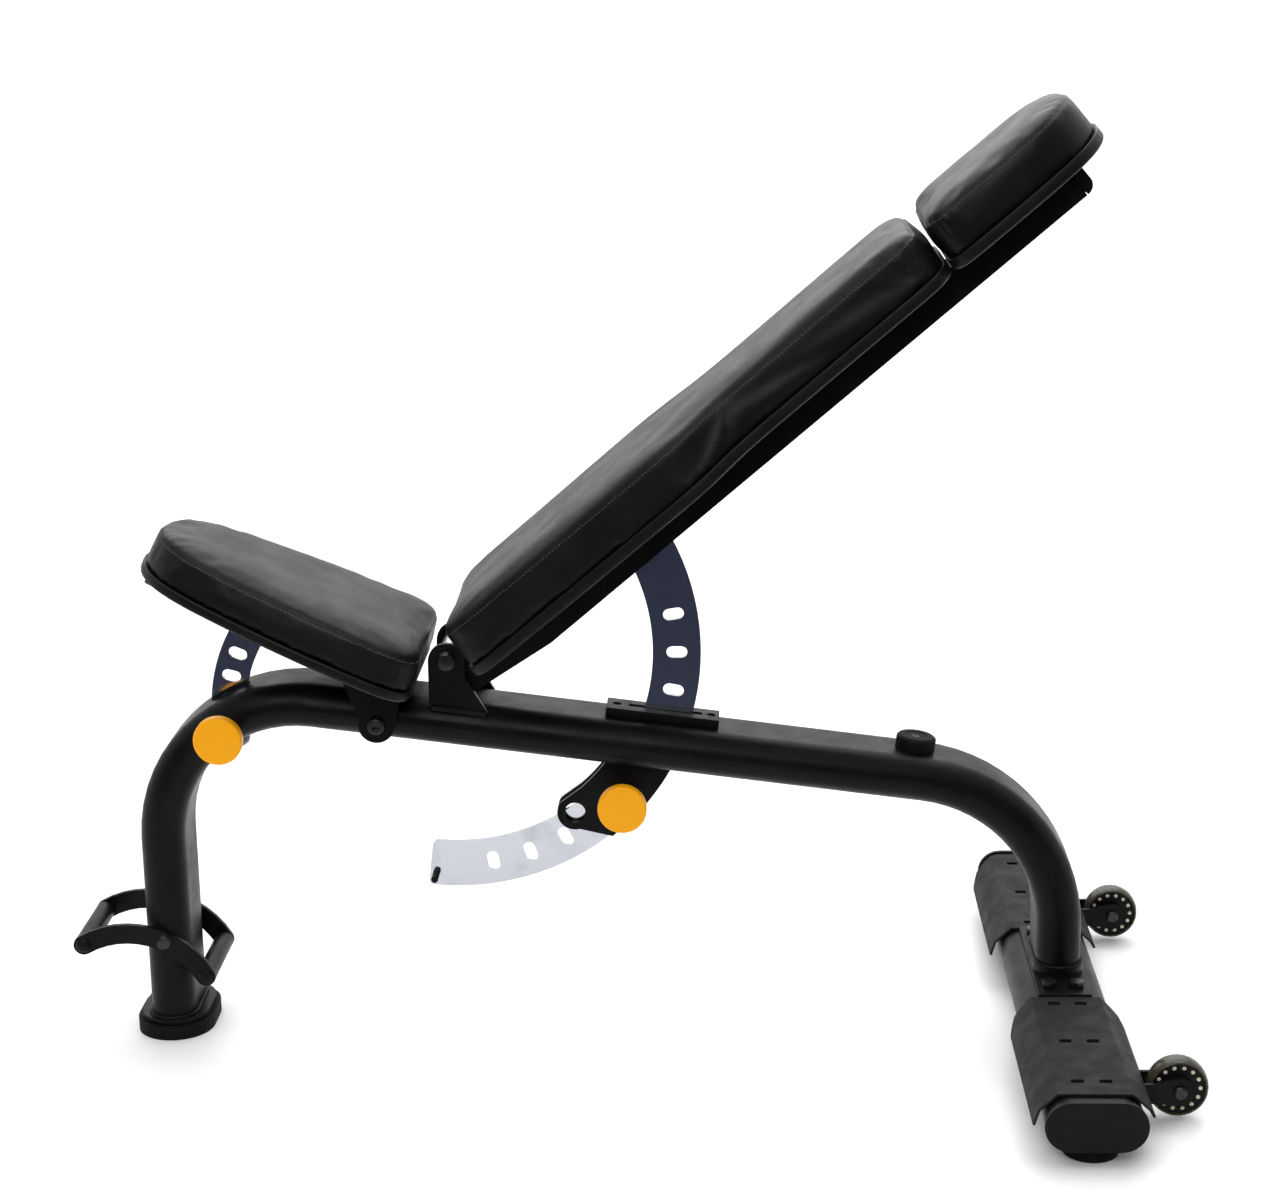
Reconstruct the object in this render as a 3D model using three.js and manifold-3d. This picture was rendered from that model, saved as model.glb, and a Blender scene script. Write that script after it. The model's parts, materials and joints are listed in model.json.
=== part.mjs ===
// Adjustable weight bench: flat-oval tube frame, tilting seat and backrest with slotted selector
// arcs and pop-pins, transport wheels and a lifting handle.
// Units are millimetres.  +X runs from the seat end to the wheel end, +Z is up, y = 0 is the plane
// of symmetry of the frame, and the origin is on the floor below the middle of the whole bench.
// The backrest stands at 40.3 degrees, the seat at 23.7 degrees, and both pop-pins are pulled out.
import * as THREE from 'three';
import { mergeVertices } from 'three/addons/utils/BufferGeometryUtils.js';
import Module from 'manifold-3d';

const wasm = await Module();
wasm.setup();

// ---------------------------------------------------------------- driving dimensions
const GAP = 0.3;                       // clearance between touching pieces
const TUBE_WIDTH = 100;                // flat-oval tube, across the bench
const TUBE_DEPTH = 50;                 // flat-oval tube, in the side view
const TUBE_WALL = 3;

const FRONT_LEG_X = -513;
const REAR_LEG_X = 485;
const BEAM_Z = 343;                    // beam centreline height at x = 0
const BEAM_SLOPE = 0.128;              // fall of the beam per unit of x
const FRONT_BEND = 155;                // centreline bend radii
const REAR_BEND = 175;

const FOOT_HEIGHT = 16;
const FOOT_PLATE = 6;
const CROSSBAR_Z = 46;
const CROSSBAR_HALF = 349;
const CAP_THICKNESS = 6;
const BASE_PLATE = 5;

const WHEEL_X = 583.7;
const WHEEL_Z = 38;
const WHEEL_Y = 240;
const WHEEL_RADIUS = 32;
const HUB_RADIUS = 27.5;

const HANDLE_X = -555;                 // centre of the handle plates' arc
const HANDLE_Z = 28;
const HANDLE_RADIUS = 99;
const HANDLE_ANGLES = [120.1, 29.3];   // front bar and rear bar, seen from the arc's centre
const HANDLE_BOLT_ANGLE = 64.9;

const BACK_PIVOT = { x: -187.5, z: 441 };
const BACK_REST = 40.3;                // backrest angle as drawn
const BACK_PIN_ANGLE = 40.5;           // direction from the pivot to the pin, below horizontal
const BACK_ARC = { inner: 223, middle: 249.5, outer: 276, end: 137.1 };
const ARC_STOP = { radius: 264, angle: 135.6, size: 3, half: 19 };
const BACK_STOPS = Array.from({ length: 10 }, (_, step) => BACK_REST + 10 * (step - 5));

const SEAT_PIVOT = { x: -265, z: 371.5 };
const SEAT_REST = 23.7;
const SEAT_PIN_ANGLE = 4;              // direction from the pivot to the pin, below horizontal
const SEAT_ARC = { inner: 152, middle: 171.5, outer: 191, end: 218.2 };
const SEAT_STOPS = [0, 1, 2, 3].map(step => SEAT_REST - 9 * step);

const SEAT_SLEEVE = 11;                // radius of the sleeve welded through the tube
const SEAT_BOLT = 6;
const HANDLE_BOLT = 6;
const HOUSING_RADIUS = 10;             // pop-pin housings

const ARC_THICKNESS = 6;
const SLIT = 8;                        // width of the slots the arcs run in
const PIN_RADIUS = 4.5;
const KNOB_RADIUS = 26.9;
const KNOB_THICKNESS = 14;

const BACK_PAD = { low: -14, high: 44 };
const HEAD_PAD = { low: -14, high: 43 };
const BOARD_LOW = -26;                 // underside of the backrest boards
const BEAM_LOW = -60;                  // underside of the backrest beam
const SEAT_BOARD = { low: 51, high: 61 };
const SEAT_PAD_HIGH = 111;
const SEAT_RAIL_LOW = 47.5;

const BLACK_STEEL = { color: 0x141415, roughness: 0.45, metalness: 0.3 };
const POLISHED = { color: 0xc4c8cf, roughness: 0.2, metalness: 1 };
const ZINC = { color: 0x9a9da1, roughness: 0.35, metalness: 1 };
const BLACK_OXIDE = { color: 0x1c1c1d, roughness: 0.4, metalness: 0.9 };
const RUBBER = { color: 0x0d0d0d, roughness: 0.85, metalness: 0 };
const PLASTIC = { color: 0x0a0a0b, roughness: 0.5, metalness: 0 };
const CHARCOAL = { color: 0x2e2e31, roughness: 0.7, metalness: 0.2 };
const VINYL = { color: 0x1a1a1b, roughness: 0.5, metalness: 0 };
const BOARD = { color: 0x121212, roughness: 0.7, metalness: 0 };
const ORANGE = { color: 0xfda80c, roughness: 0.45, metalness: 0 };
const URETHANE = { color: 0xcfc58a, roughness: 0.3, metalness: 0 };
const BRONZE = { color: 0x8a6a3a, roughness: 0.4, metalness: 1 };

const rad = THREE.MathUtils.degToRad;
const beamAngle = Math.atan(BEAM_SLOPE);
const beamTop = x => BEAM_Z - BEAM_SLOPE * x + TUBE_DEPTH / 2 / Math.cos(beamAngle);
const polar = (centre, radius, degrees) => ({
  x: centre.x + radius * Math.cos(rad(degrees)),
  z: centre.z + radius * Math.sin(rad(degrees)),
});

// ---------------------------------------------------------------- geometry helpers
const bench = new THREE.Group();

function piece(name, geometry, look, parent = bench) {
  const mesh = new THREE.Mesh(geometry, new THREE.MeshStandardMaterial(look));
  mesh.name = name;
  parent.add(mesh);
  return mesh;
}

function solid(geometry) {
  const bare = geometry.clone();
  bare.deleteAttribute('normal');
  bare.deleteAttribute('uv');
  const merged = mergeVertices(bare, 1e-4);
  return new wasm.Manifold(new wasm.Mesh({
    numProp: 3,
    vertProperties: merged.attributes.position.array,
    triVerts: new Uint32Array(merged.index.array),
  }));
}

function meshed(body) {
  const out = body.getMesh();
  const geometry = new THREE.BufferGeometry();
  geometry.setAttribute('position', new THREE.BufferAttribute(out.vertProperties, 3));
  geometry.setIndex(new THREE.BufferAttribute(out.triVerts, 1));
  return geometry;
}

function cut(geometry, ...tools) {
  return meshed(tools.reduce((body, tool) => body.subtract(solid(tool)), solid(geometry)));
}

function join(...geometries) {
  const [first, ...rest] = geometries.map(solid);
  return meshed(rest.reduce((body, other) => body.add(other), first));
}

// A plate whose outline is drawn in the side view (x, z), centred on y.
function plate(shape, thickness, y, curveSegments = 8) {
  const options = { depth: thickness, bevelEnabled: false, curveSegments };
  const geometry = new THREE.ExtrudeGeometry(shape, options);
  return geometry.rotateX(Math.PI / 2).translate(0, y + thickness / 2, 0);
}

// A round bar along Y.
function bar(radius, y0, y1, x, z, segments = 24) {
  return new THREE.CylinderGeometry(radius, radius, y1 - y0, segments).translate(x, (y0 + y1) / 2, z);
}

function block(x0, x1, y0, y1, z0, z1) {
  const geometry = new THREE.BoxGeometry(x1 - x0, y1 - y0, z1 - z0);
  return geometry.translate((x0 + x1) / 2, (y0 + y1) / 2, (z0 + z1) / 2);
}

// A turned piece along Y from [radius, y] points that start and end on the axis, or a ring.
function turned(points, x = 0, z = 0, segments = 24) {
  const profile = points.map(([radius, y]) => new THREE.Vector2(radius, y));
  return new THREE.LatheGeometry(profile, segments).translate(x, 0, z);
}

function ring(inner, outer, y0, y1, x, z, segments = 24) {
  const points = [[inner, y0], [outer, y0], [outer, y1], [inner, y1], [inner, y0]];
  return turned(points, x, z, segments);
}

function roundHole(x, z, radius) {
  return new THREE.Path().absarc(x, z, radius, 0, 2 * Math.PI, false);
}

// Flat-oval outline, long side along the shape's x.
function flatOval(width, depth, PathClass = THREE.Shape) {
  const half = (width - depth) / 2;
  const outline = new PathClass();
  outline.absarc(half, 0, depth / 2, -Math.PI / 2, Math.PI / 2, false);
  outline.absarc(-half, 0, depth / 2, Math.PI / 2, 3 * Math.PI / 2, false);
  outline.closePath();
  return outline;
}

// A long arc drawn as several short ones, so that it stays round when the slots are drawn coarsely.
function longArc(shape, radius, from, to) {
  const pieces = Math.ceil(Math.abs(to - from) / rad(25));
  const step = (to - from) / pieces;
  for (let i = 0; i < pieces; i += 1) {
    shape.absarc(0, 0, radius, from + i * step, from + (i + 1) * step, step < 0);
  }
}

// A sweep of the side-view sector between two radii, used to cut the arcs' running slits.
function sectorTool(centre, inner, outer, from, to, thickness) {
  const shape = new THREE.Shape();
  shape.absarc(centre.x, centre.z, outer, rad(from), rad(to), false);
  shape.absarc(centre.x, centre.z, inner, rad(to), rad(from), true);
  shape.closePath();
  return plate(shape, thickness, 0, 16);
}

// A radial obround slot in an arc plate, centred on the given polar position.
function radialSlot(radius, degrees, length = 23, width = 13) {
  const hole = new THREE.Path();
  const angle = rad(degrees);
  const reach = (length - width) / 2;
  const at = r => [r * Math.cos(angle), r * Math.sin(angle)];
  hole.absarc(...at(radius + reach), width / 2, angle - Math.PI / 2, angle + Math.PI / 2, false);
  hole.absarc(...at(radius - reach), width / 2, angle + Math.PI / 2, angle + 3 * Math.PI / 2, false);
  hole.closePath();
  return hole;
}

// ---------------------------------------------------------------- main frame tube
// A side-view path as a space curve, sampled at chosen shares of its length: closely round the
// bends and sparsely along the straights.
class SideCurve extends THREE.Curve {
  constructor(path, stations) {
    super();
    Object.assign(this, { path, stations });
  }

  share(u) {
    return this.stations[Math.round(u * (this.stations.length - 1))];
  }

  getPointAt(u, target = new THREE.Vector3()) {
    const p = this.path.getPoint(this.share(u));
    return target.set(p.x, 0, p.y);
  }

  getTangentAt(u, target = new THREE.Vector3()) {
    const p = this.path.getTangent(this.share(u));
    return target.set(p.x, 0, p.y);
  }
}

// Shares of a path's length at which it is sampled: so many steps along each line and each bend.
// A path closes tiny rounding gaps with lines of no length, which get no step.
function stationsAlong(path, lineSteps, bendSteps) {
  const ends = path.getCurveLengths();
  const total = ends[ends.length - 1];
  const stations = [0];
  path.curves.forEach((curve, part) => {
    const from = part === 0 ? 0 : ends[part - 1];
    const length = ends[part] - from;
    const count = curve.isEllipseCurve ? bendSteps : lineSteps;
    for (let i = 1; i <= count && length > GAP; i += 1) {
      stations.push((from + length * (i / count)) / total);
    }
  });
  return stations;
}

const FRONT_LEG_BOTTOM = FOOT_HEIGHT + FOOT_PLATE + 2 * GAP;
const REAR_LEG_BOTTOM = CROSSBAR_Z + TUBE_DEPTH / 2 + BASE_PLATE + 2 * GAP;

function bendCentre(x, radius) {
  return { x, z: BEAM_Z - BEAM_SLOPE * x - radius / Math.cos(beamAngle) };
}

const frontBend = bendCentre(FRONT_LEG_X + FRONT_BEND, FRONT_BEND);
const rearBend = bendCentre(REAR_LEG_X - REAR_BEND, REAR_BEND);
const SEAT_PIN = polar(SEAT_PIVOT, SEAT_ARC.middle, 180 + SEAT_PIN_ANGLE);
const BACK_PIN = polar(BACK_PIVOT, BACK_ARC.middle, -BACK_PIN_ANGLE);

const LINE_STEPS = 2;
const BEND_STEPS = 15;
const TUBE_SEGMENTS = 6;               // round each side of the tube's section

function framePath() {
  const normal = Math.PI / 2 - beamAngle;
  const path = new THREE.Path();
  path.moveTo(FRONT_LEG_X, FRONT_LEG_BOTTOM);
  path.lineTo(FRONT_LEG_X, frontBend.z);
  path.absarc(frontBend.x, frontBend.z, FRONT_BEND, Math.PI, normal, true);
  path.absarc(rearBend.x, rearBend.z, REAR_BEND, normal, 0, true);
  path.lineTo(REAR_LEG_X, REAR_LEG_BOTTOM);
  return new SideCurve(path, stationsAlong(path, LINE_STEPS, BEND_STEPS));
}

function mainFrameTube() {
  const section = flatOval(TUBE_WIDTH, TUBE_DEPTH);
  section.holes.push(flatOval(TUBE_WIDTH - 2 * TUBE_WALL, TUBE_DEPTH - 2 * TUBE_WALL, THREE.Path));
  const extrudePath = framePath();
  const steps = extrudePath.stations.length - 1;
  const tube = new THREE.ExtrudeGeometry(section, { extrudePath, steps, curveSegments: TUBE_SEGMENTS });
  const handleBolt = polar({ x: HANDLE_X, z: HANDLE_Z }, HANDLE_RADIUS, HANDLE_BOLT_ANGLE);
  return cut(
    tube,
    sectorTool(BACK_PIVOT, BACK_ARC.inner - 2, BACK_ARC.outer + 2, -55, -5, SLIT),
    sectorTool(SEAT_PIVOT, SEAT_ARC.inner - 2, SEAT_ARC.outer + 2, 140, 240, SLIT),
    bar(SEAT_SLEEVE + GAP, -60, 60, SEAT_PIVOT.x, SEAT_PIVOT.z),
    bar(HOUSING_RADIUS + GAP, -60, -20, SEAT_PIN.x, SEAT_PIN.z),
    bar(HANDLE_BOLT + GAP, -60, 60, handleBolt.x, handleBolt.z, 16),
  );
}

piece('main_frame_tube', mainFrameTube(), BLACK_STEEL);

// ---------------------------------------------------------------- front foot
function footPart(length, width, z0, height) {
  const shape = flatOval(length, width);
  const geometry = new THREE.ExtrudeGeometry(shape, {
    depth: height,
    bevelEnabled: false,
    curveSegments: 12,
  });
  return geometry.rotateZ(Math.PI / 2).translate(FRONT_LEG_X, 0, z0);
}

piece('front_foot_rubber', footPart(120, 86, 0, FOOT_HEIGHT), RUBBER);
piece('front_foot_plate', footPart(110, 76, FOOT_HEIGHT + GAP, FOOT_PLATE), BLACK_STEEL);

// ---------------------------------------------------------------- rear leg base
const BASE = { halfLength: 29, halfWidth: 98, collar: 11, collarWall: 3 };
const BASE_BOLT = 5;
const BASE_BOLT_PLACES = [[-15, -76], [15, -76], [-15, 76], [15, 76]];

function legBase() {
  const bottom = CROSSBAR_Z + TUBE_DEPTH / 2 + GAP;
  const top = bottom + BASE_PLATE;
  const x = REAR_LEG_X;
  const wall = 2 * BASE.collarWall;
  const collarShape = flatOval(TUBE_WIDTH + wall, TUBE_DEPTH + wall);
  collarShape.holes.push(flatOval(TUBE_WIDTH + 2 * GAP, TUBE_DEPTH + 2 * GAP, THREE.Path));
  const collar = new THREE.ExtrudeGeometry(collarShape, {
    depth: BASE.collar,
    bevelEnabled: false,
    curveSegments: 8,
  });
  collar.rotateZ(Math.PI / 2).translate(x, 0, top - 1);
  const { halfLength, halfWidth } = BASE;
  const base = block(x - halfLength, x + halfLength, -halfWidth, halfWidth, bottom, top);
  const drill = (dx, y) => {
    const tool = new THREE.CylinderGeometry(BASE_BOLT + GAP, BASE_BOLT + GAP, 20, 16);
    return tool.rotateX(Math.PI / 2).translate(x + dx, y, top);
  };
  return cut(join(base, collar), ...BASE_BOLT_PLACES.map(([dx, y]) => drill(dx, y)));
}

function baseBolt() {
  const head = new THREE.CylinderGeometry(8.5, 8.5, 6.5, 6).translate(0, BASE_PLATE + 3.55, 0);
  const shank = new THREE.CylinderGeometry(BASE_BOLT, BASE_BOLT, BASE_PLATE + 1, 16);
  return join(head, shank.translate(0, BASE_PLATE / 2 + 0.5, 0)).rotateX(Math.PI / 2);
}

piece('rear_leg_base', legBase(), BLACK_STEEL);
BASE_BOLT_PLACES.forEach(([dx, y], index) => {
  const mesh = piece(`base_bolt_${index + 1}`, baseBolt(), BLACK_OXIDE);
  mesh.position.set(REAR_LEG_X + dx, y, CROSSBAR_Z + TUBE_DEPTH / 2 + GAP);
});

// ---------------------------------------------------------------- rear crossbar and its ends
function crossbarTube() {
  const shape = flatOval(TUBE_WIDTH, TUBE_DEPTH);
  shape.holes.push(flatOval(TUBE_WIDTH - 2 * TUBE_WALL, TUBE_DEPTH - 2 * TUBE_WALL, THREE.Path));
  const tube = plate(shape, 2 * CROSSBAR_HALF, 0, 8);
  return tube.translate(REAR_LEG_X, 0, CROSSBAR_Z);
}

// The end cap's flange covers the tube's end and its plug sits inside the tube.
function endCap() {
  const flange = plate(flatOval(TUBE_WIDTH + 4, TUBE_DEPTH + 4), CAP_THICKNESS, -CAP_THICKNESS / 2, 8);
  const inset = 2 * TUBE_WALL + 2 * GAP;
  const plug = plate(flatOval(TUBE_WIDTH - inset, TUBE_DEPTH - inset), 17, 7.5, 8);
  return join(flange, plug);
}

// Inverted shallow channel that sits over the crossbar, with six small slots in its top.  Both covers
// face the same way: the two corners towards +Y are well rounded.
const TREAD = {
  length: 238,
  y: 217,
  sheet: 2.5,
  half: 62,
  corner: 32,
  slot: { middle: 211, x: 14.3, y: 95.5, halfLength: 6.5, halfWidth: 4 },
};

function treadCover(sign) {
  const { sheet, slot, length, y: middle } = TREAD;
  const top = TUBE_DEPTH / 2 + GAP + sheet;
  const under = top - sheet;
  const outer = [[-62, -6], [-57, 10], [-38, top], [38, top], [56, 11], [61, 3]];
  const inner = [[58.5, 2], [53.8, 10], [37, under], [-37, under], [-54.6, 9], [-59.5, -7]];
  const shape = new THREE.Shape([...outer, ...inner].map(([x, z]) => new THREE.Vector2(x, z)));
  const slots = [];
  for (const x of [-slot.x, slot.x]) {
    for (const row of [-1, 0, 1]) {
      const y = sign * (slot.middle - middle) + row * slot.y;
      const across = [x - slot.halfLength, x + slot.halfLength];
      slots.push(block(...across, y - slot.halfWidth, y + slot.halfWidth, under - sheet, top + sheet));
    }
  }
  return meshed(solid(cut(plate(shape, length, 0), ...slots)).intersect(solid(treadPlan(top))));
}

// Plan outline of a tread cover, as a slab from below its skirt to its top.
function treadPlan(top) {
  const { half: side, corner } = TREAD;
  const end = TREAD.length / 2;
  const depth = top + 2 * TUBE_WALL + 6;
  const outline = new THREE.Shape();
  outline.moveTo(-side, -end);
  outline.lineTo(side, -end);
  outline.lineTo(side, end - corner);
  outline.quadraticCurveTo(side - 2, end - 4, side - corner, end);
  outline.lineTo(corner - side, end);
  outline.quadraticCurveTo(2 - side, end - 4, -side, end - corner);
  outline.closePath();
  const slab = new THREE.ExtrudeGeometry(outline, { depth, bevelEnabled: false, curveSegments: 8 });
  return slab.translate(0, 0, top - depth);
}

// Bracket welded to the crossbar: two cheeks either side of the wheel and a web between them.
const BRACKET = { boss: 15, top: 46.5, low: 27, back: 524, shoulder: 28, web: 21, thickness: 4, y: 16 };

function wheelBracket() {
  const { boss, top, low, back, shoulder, web, thickness, y } = BRACKET;
  const cheek = new THREE.Shape();
  cheek.moveTo(WHEEL_X, WHEEL_Z - boss);
  cheek.absarc(WHEEL_X, WHEEL_Z, boss, -Math.PI / 2, Math.PI / 2, false);
  cheek.lineTo(WHEEL_X - shoulder, top);
  cheek.lineTo(back + 8, top);
  cheek.lineTo(back, low);
  cheek.closePath();
  cheek.holes.push(roundHole(WHEEL_X, WHEEL_Z, AXLE_RADIUS + GAP));
  const middle = block(back, back + web, 1 - y, y - 1, low, top);
  const hollow = plate(flatOval(TUBE_WIDTH + 2 * GAP, TUBE_DEPTH + 2 * GAP), 4 * y, 0, 12);
  hollow.translate(REAR_LEG_X, 0, CROSSBAR_Z);
  return cut(join(plate(cheek, thickness, -y), plate(cheek, thickness, y), middle), hollow);
}

const AXLE_RADIUS = 4;

function wheelAxle() {
  return turned([
    [0, -22.5], [5.5, -22.5], [7, -21], [7, -18.3], [AXLE_RADIUS, -18.3],
    [AXLE_RADIUS, 18.3], [6.5, 18.3], [6.5, 23], [0, 23],
  ], WHEEL_X, WHEEL_Z, 24);
}

const HUB_WINDOWS = { count: 14, ring: 22.8, radius: 2.5 };

function wheelHub() {
  const bore = AXLE_RADIUS + 0.1;
  const rim = HUB_RADIUS - 9;
  const body = turned([
    [bore, -11], [11, -11], [12, -8], [rim, -7], [HUB_RADIUS, -8.5],
    [HUB_RADIUS, 8.5], [rim, 7], [12, 8], [11, 11], [bore, 11], [bore, -11],
  ], 0, 0, 28);
  const windows = [];
  for (let i = 0; i < HUB_WINDOWS.count; i += 1) {
    const angle = (360 * i) / HUB_WINDOWS.count;
    const { x, z } = polar({ x: 0, z: 0 }, HUB_WINDOWS.ring, angle);
    windows.push(bar(HUB_WINDOWS.radius, -15, 15, x, z, 6));
  }
  return cut(body, ...windows).translate(WHEEL_X, 0, WHEEL_Z);
}

function wheelTyre() {
  const inner = HUB_RADIUS + GAP;
  return turned([
    [inner, -10], [29, -11.2], [30.6, -9.5], [31.7, -5], [WHEEL_RADIUS, 0],
    [31.7, 5], [30.6, 9.5], [29, 11.2], [inner, 10], [inner, -10],
  ], WHEEL_X, WHEEL_Z, 28);
}

const CROSSBAR_FOOT = { top: 26, bottom: 29, y: 312 };

piece('crossbar_tube', crossbarTube(), BLACK_STEEL);
for (const [side, sign] of [['near', -1], ['far', 1]]) {
  const cap = piece(`crossbar_end_cap_${side}`, endCap(), PLASTIC);
  cap.position.set(REAR_LEG_X, sign * (CROSSBAR_HALF + GAP), CROSSBAR_Z);
  cap.rotation.z = sign > 0 ? Math.PI : 0;

  const footTop = CROSSBAR_Z - TUBE_DEPTH / 2 - GAP;
  const { top, bottom } = CROSSBAR_FOOT;
  const foot = new THREE.CylinderGeometry(top, bottom, footTop, 28).rotateX(Math.PI / 2);
  const rubber = piece(`crossbar_foot_${side}`, foot, RUBBER);
  rubber.position.set(REAR_LEG_X, sign * CROSSBAR_FOOT.y, footTop / 2);

  const tread = piece(`tread_cover_${side}`, treadCover(sign), CHARCOAL);
  tread.position.set(REAR_LEG_X, sign * TREAD.y, CROSSBAR_Z);

  for (const [name, geometry, look] of [
    ['wheel_bracket', wheelBracket(), BLACK_STEEL],
    ['wheel_axle', wheelAxle(), BLACK_OXIDE],
    ['wheel_hub', wheelHub(), PLASTIC],
    ['wheel_tyre', wheelTyre(), URETHANE],
  ]) {
    piece(`${name}_${side}`, geometry, look).position.y = sign * WHEEL_Y;
  }
}

// ---------------------------------------------------------------- lifting handle
const HANDLE_CENTRE = { x: HANDLE_X, z: HANDLE_Z };
const HANDLE_PLATE = 6;
const HANDLE_INNER = TUBE_WIDTH / 2 + GAP;
const HANDLE_STUB = 5;

function handlePlate(y) {
  const half = 11.2;
  const [front, rear] = HANDLE_ANGLES.map(rad);
  const { x, z } = HANDLE_CENTRE;
  const frontBar = polar(HANDLE_CENTRE, HANDLE_RADIUS, HANDLE_ANGLES[0]);
  const rearBar = polar(HANDLE_CENTRE, HANDLE_RADIUS, HANDLE_ANGLES[1]);
  const bolt = polar(HANDLE_CENTRE, HANDLE_RADIUS, HANDLE_BOLT_ANGLE);
  const shape = new THREE.Shape();
  shape.absarc(x, z, HANDLE_RADIUS + half, rear, front, false);
  shape.absarc(frontBar.x, frontBar.z, half, front, front + Math.PI, false);
  shape.absarc(x, z, HANDLE_RADIUS - half, front, rear, true);
  shape.absarc(rearBar.x, rearBar.z, half, rear + Math.PI, rear + 2 * Math.PI, false);
  shape.closePath();
  shape.holes.push(roundHole(frontBar.x, frontBar.z, HANDLE_STUB + GAP));
  shape.holes.push(roundHole(rearBar.x, rearBar.z, HANDLE_STUB + GAP));
  shape.holes.push(roundHole(bolt.x, bolt.z, HANDLE_BOLT + GAP));
  return plate(shape, HANDLE_PLATE, y, 6);
}

// Grip bar with a shouldered end through each plate and a domed head outside it.
function handleBar(degrees) {
  const face = HANDLE_INNER - GAP;
  const head = HANDLE_INNER + HANDLE_PLATE + GAP;
  const { x, z } = polar(HANDLE_CENTRE, HANDLE_RADIUS, degrees);
  return turned([
    [0, -head - 4], [6, -head - 3], [9, -head], [HANDLE_STUB, -head], [HANDLE_STUB, -face], [11, -face],
    [11, face], [HANDLE_STUB, face], [HANDLE_STUB, head], [9, head], [6, head + 3], [0, head + 4],
  ], x, z, 20);
}

function handleBolt() {
  const head = HANDLE_INNER + HANDLE_PLATE + GAP;
  const { x, z } = polar(HANDLE_CENTRE, HANDLE_RADIUS, HANDLE_BOLT_ANGLE);
  return turned([
    [0, -head - 5], [7, -head - 4], [9.5, -head], [HANDLE_BOLT, -head],
    [HANDLE_BOLT, head], [9.5, head], [7, head + 4], [0, head + 5],
  ], x, z, 20);
}

const handlePlateY = HANDLE_INNER + HANDLE_PLATE / 2;
piece('handle_plate_near', handlePlate(-handlePlateY), BLACK_STEEL);
piece('handle_plate_far', handlePlate(handlePlateY), BLACK_STEEL);
piece('handle_bar_front', handleBar(HANDLE_ANGLES[0]), BLACK_STEEL);
piece('handle_bar_rear', handleBar(HANDLE_ANGLES[1]), BLACK_STEEL);
piece('handle_bolt', handleBolt(), BLACK_OXIDE);

// ---------------------------------------------------------------- backrest hinge on the frame
const EAR_INNER = 40;
const EAR_THICKNESS = 6;
const EAR_RADIUS = 20;
const HINGE_PIN = 8;

// The ears stand on the rounded shoulders of the tube, a little below its flat top.
const SHOULDER_REACH = EAR_INNER - (TUBE_WIDTH - TUBE_DEPTH) / 2;
const SHOULDER_DROP = TUBE_DEPTH / 2 - Math.sqrt((TUBE_DEPTH / 2) ** 2 - SHOULDER_REACH ** 2);

function hingeEar(y) {
  const { x, z } = BACK_PIVOT;
  const shape = new THREE.Shape();
  const foot = at => beamTop(at) - SHOULDER_DROP + GAP;
  shape.moveTo(x - EAR_RADIUS, foot(x - EAR_RADIUS));
  shape.lineTo(x + 44, foot(x + 44));
  shape.lineTo(x + 40, foot(x + 40) + 6);
  shape.lineTo(x + EAR_RADIUS, z - 18);
  shape.absarc(x, z, EAR_RADIUS, 0, Math.PI, false);
  shape.closePath();
  shape.holes.push(roundHole(x, z, HINGE_PIN + GAP));
  return plate(shape, EAR_THICKNESS, y);
}

function hingePin() {
  const head = EAR_INNER + EAR_THICKNESS + GAP;
  return turned([
    [0, -head - 6], [9, -head - 5], [12, -head], [HINGE_PIN, -head],
    [HINGE_PIN, head], [12, head], [9, head + 5], [0, head + 6],
  ], BACK_PIVOT.x, BACK_PIVOT.z, 32);
}

piece('hinge_ear_near', hingeEar(-EAR_INNER - EAR_THICKNESS / 2), BLACK_STEEL);
piece('hinge_ear_far', hingeEar(EAR_INNER + EAR_THICKNESS / 2), BLACK_STEEL);
piece('hinge_pin', hingePin(), BLACK_OXIDE);

// ---------------------------------------------------------------- seat pivot in the frame
const sleeveHalf = TUBE_WIDTH / 2 - 0.5;
const sleeve = ring(SEAT_BOLT + 0.1, SEAT_SLEEVE, -sleeveHalf, sleeveHalf, SEAT_PIVOT.x, SEAT_PIVOT.z);
piece('seat_pivot_sleeve', sleeve, BRONZE);

// ---------------------------------------------------------------- guide block on the beam
const GUIDE = { x0: -17, x1: 107, half: 19, height: 10, slot0: 7.5, slot1: 88, screws: [-6, 98] };

function guideBlock() {
  const at = x => (x - GUIDE.x0) / Math.cos(beamAngle);
  const body = block(0, at(GUIDE.x1), -GUIDE.half, GUIDE.half, 0, GUIDE.height);
  const slot = block(at(GUIDE.slot0), at(GUIDE.slot1), -SLIT / 2, SLIT / 2, -5, GUIDE.height + 5);
  const counterbores = GUIDE.screws.map(x => {
    const tool = new THREE.CylinderGeometry(5, 5, 8, 16).rotateX(Math.PI / 2);
    return tool.translate(at(x), 0, GUIDE.height);
  });
  return cut(body, slot, ...counterbores);
}

const guide = piece('guide_block', guideBlock(), PLASTIC);
guide.position.set(GUIDE.x0, 0, beamTop(GUIDE.x0) + GAP / Math.cos(beamAngle));
guide.rotation.y = beamAngle;

// ---------------------------------------------------------------- latch plates under the beam
const LATCH = {
  inner: 211.5,
  outer: 277,
  thickness: 6,
  y: 8.2,
  hole: 11.8,
  end: { radius: 229.5, angle: -54.1, size: 20 },
};

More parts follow.
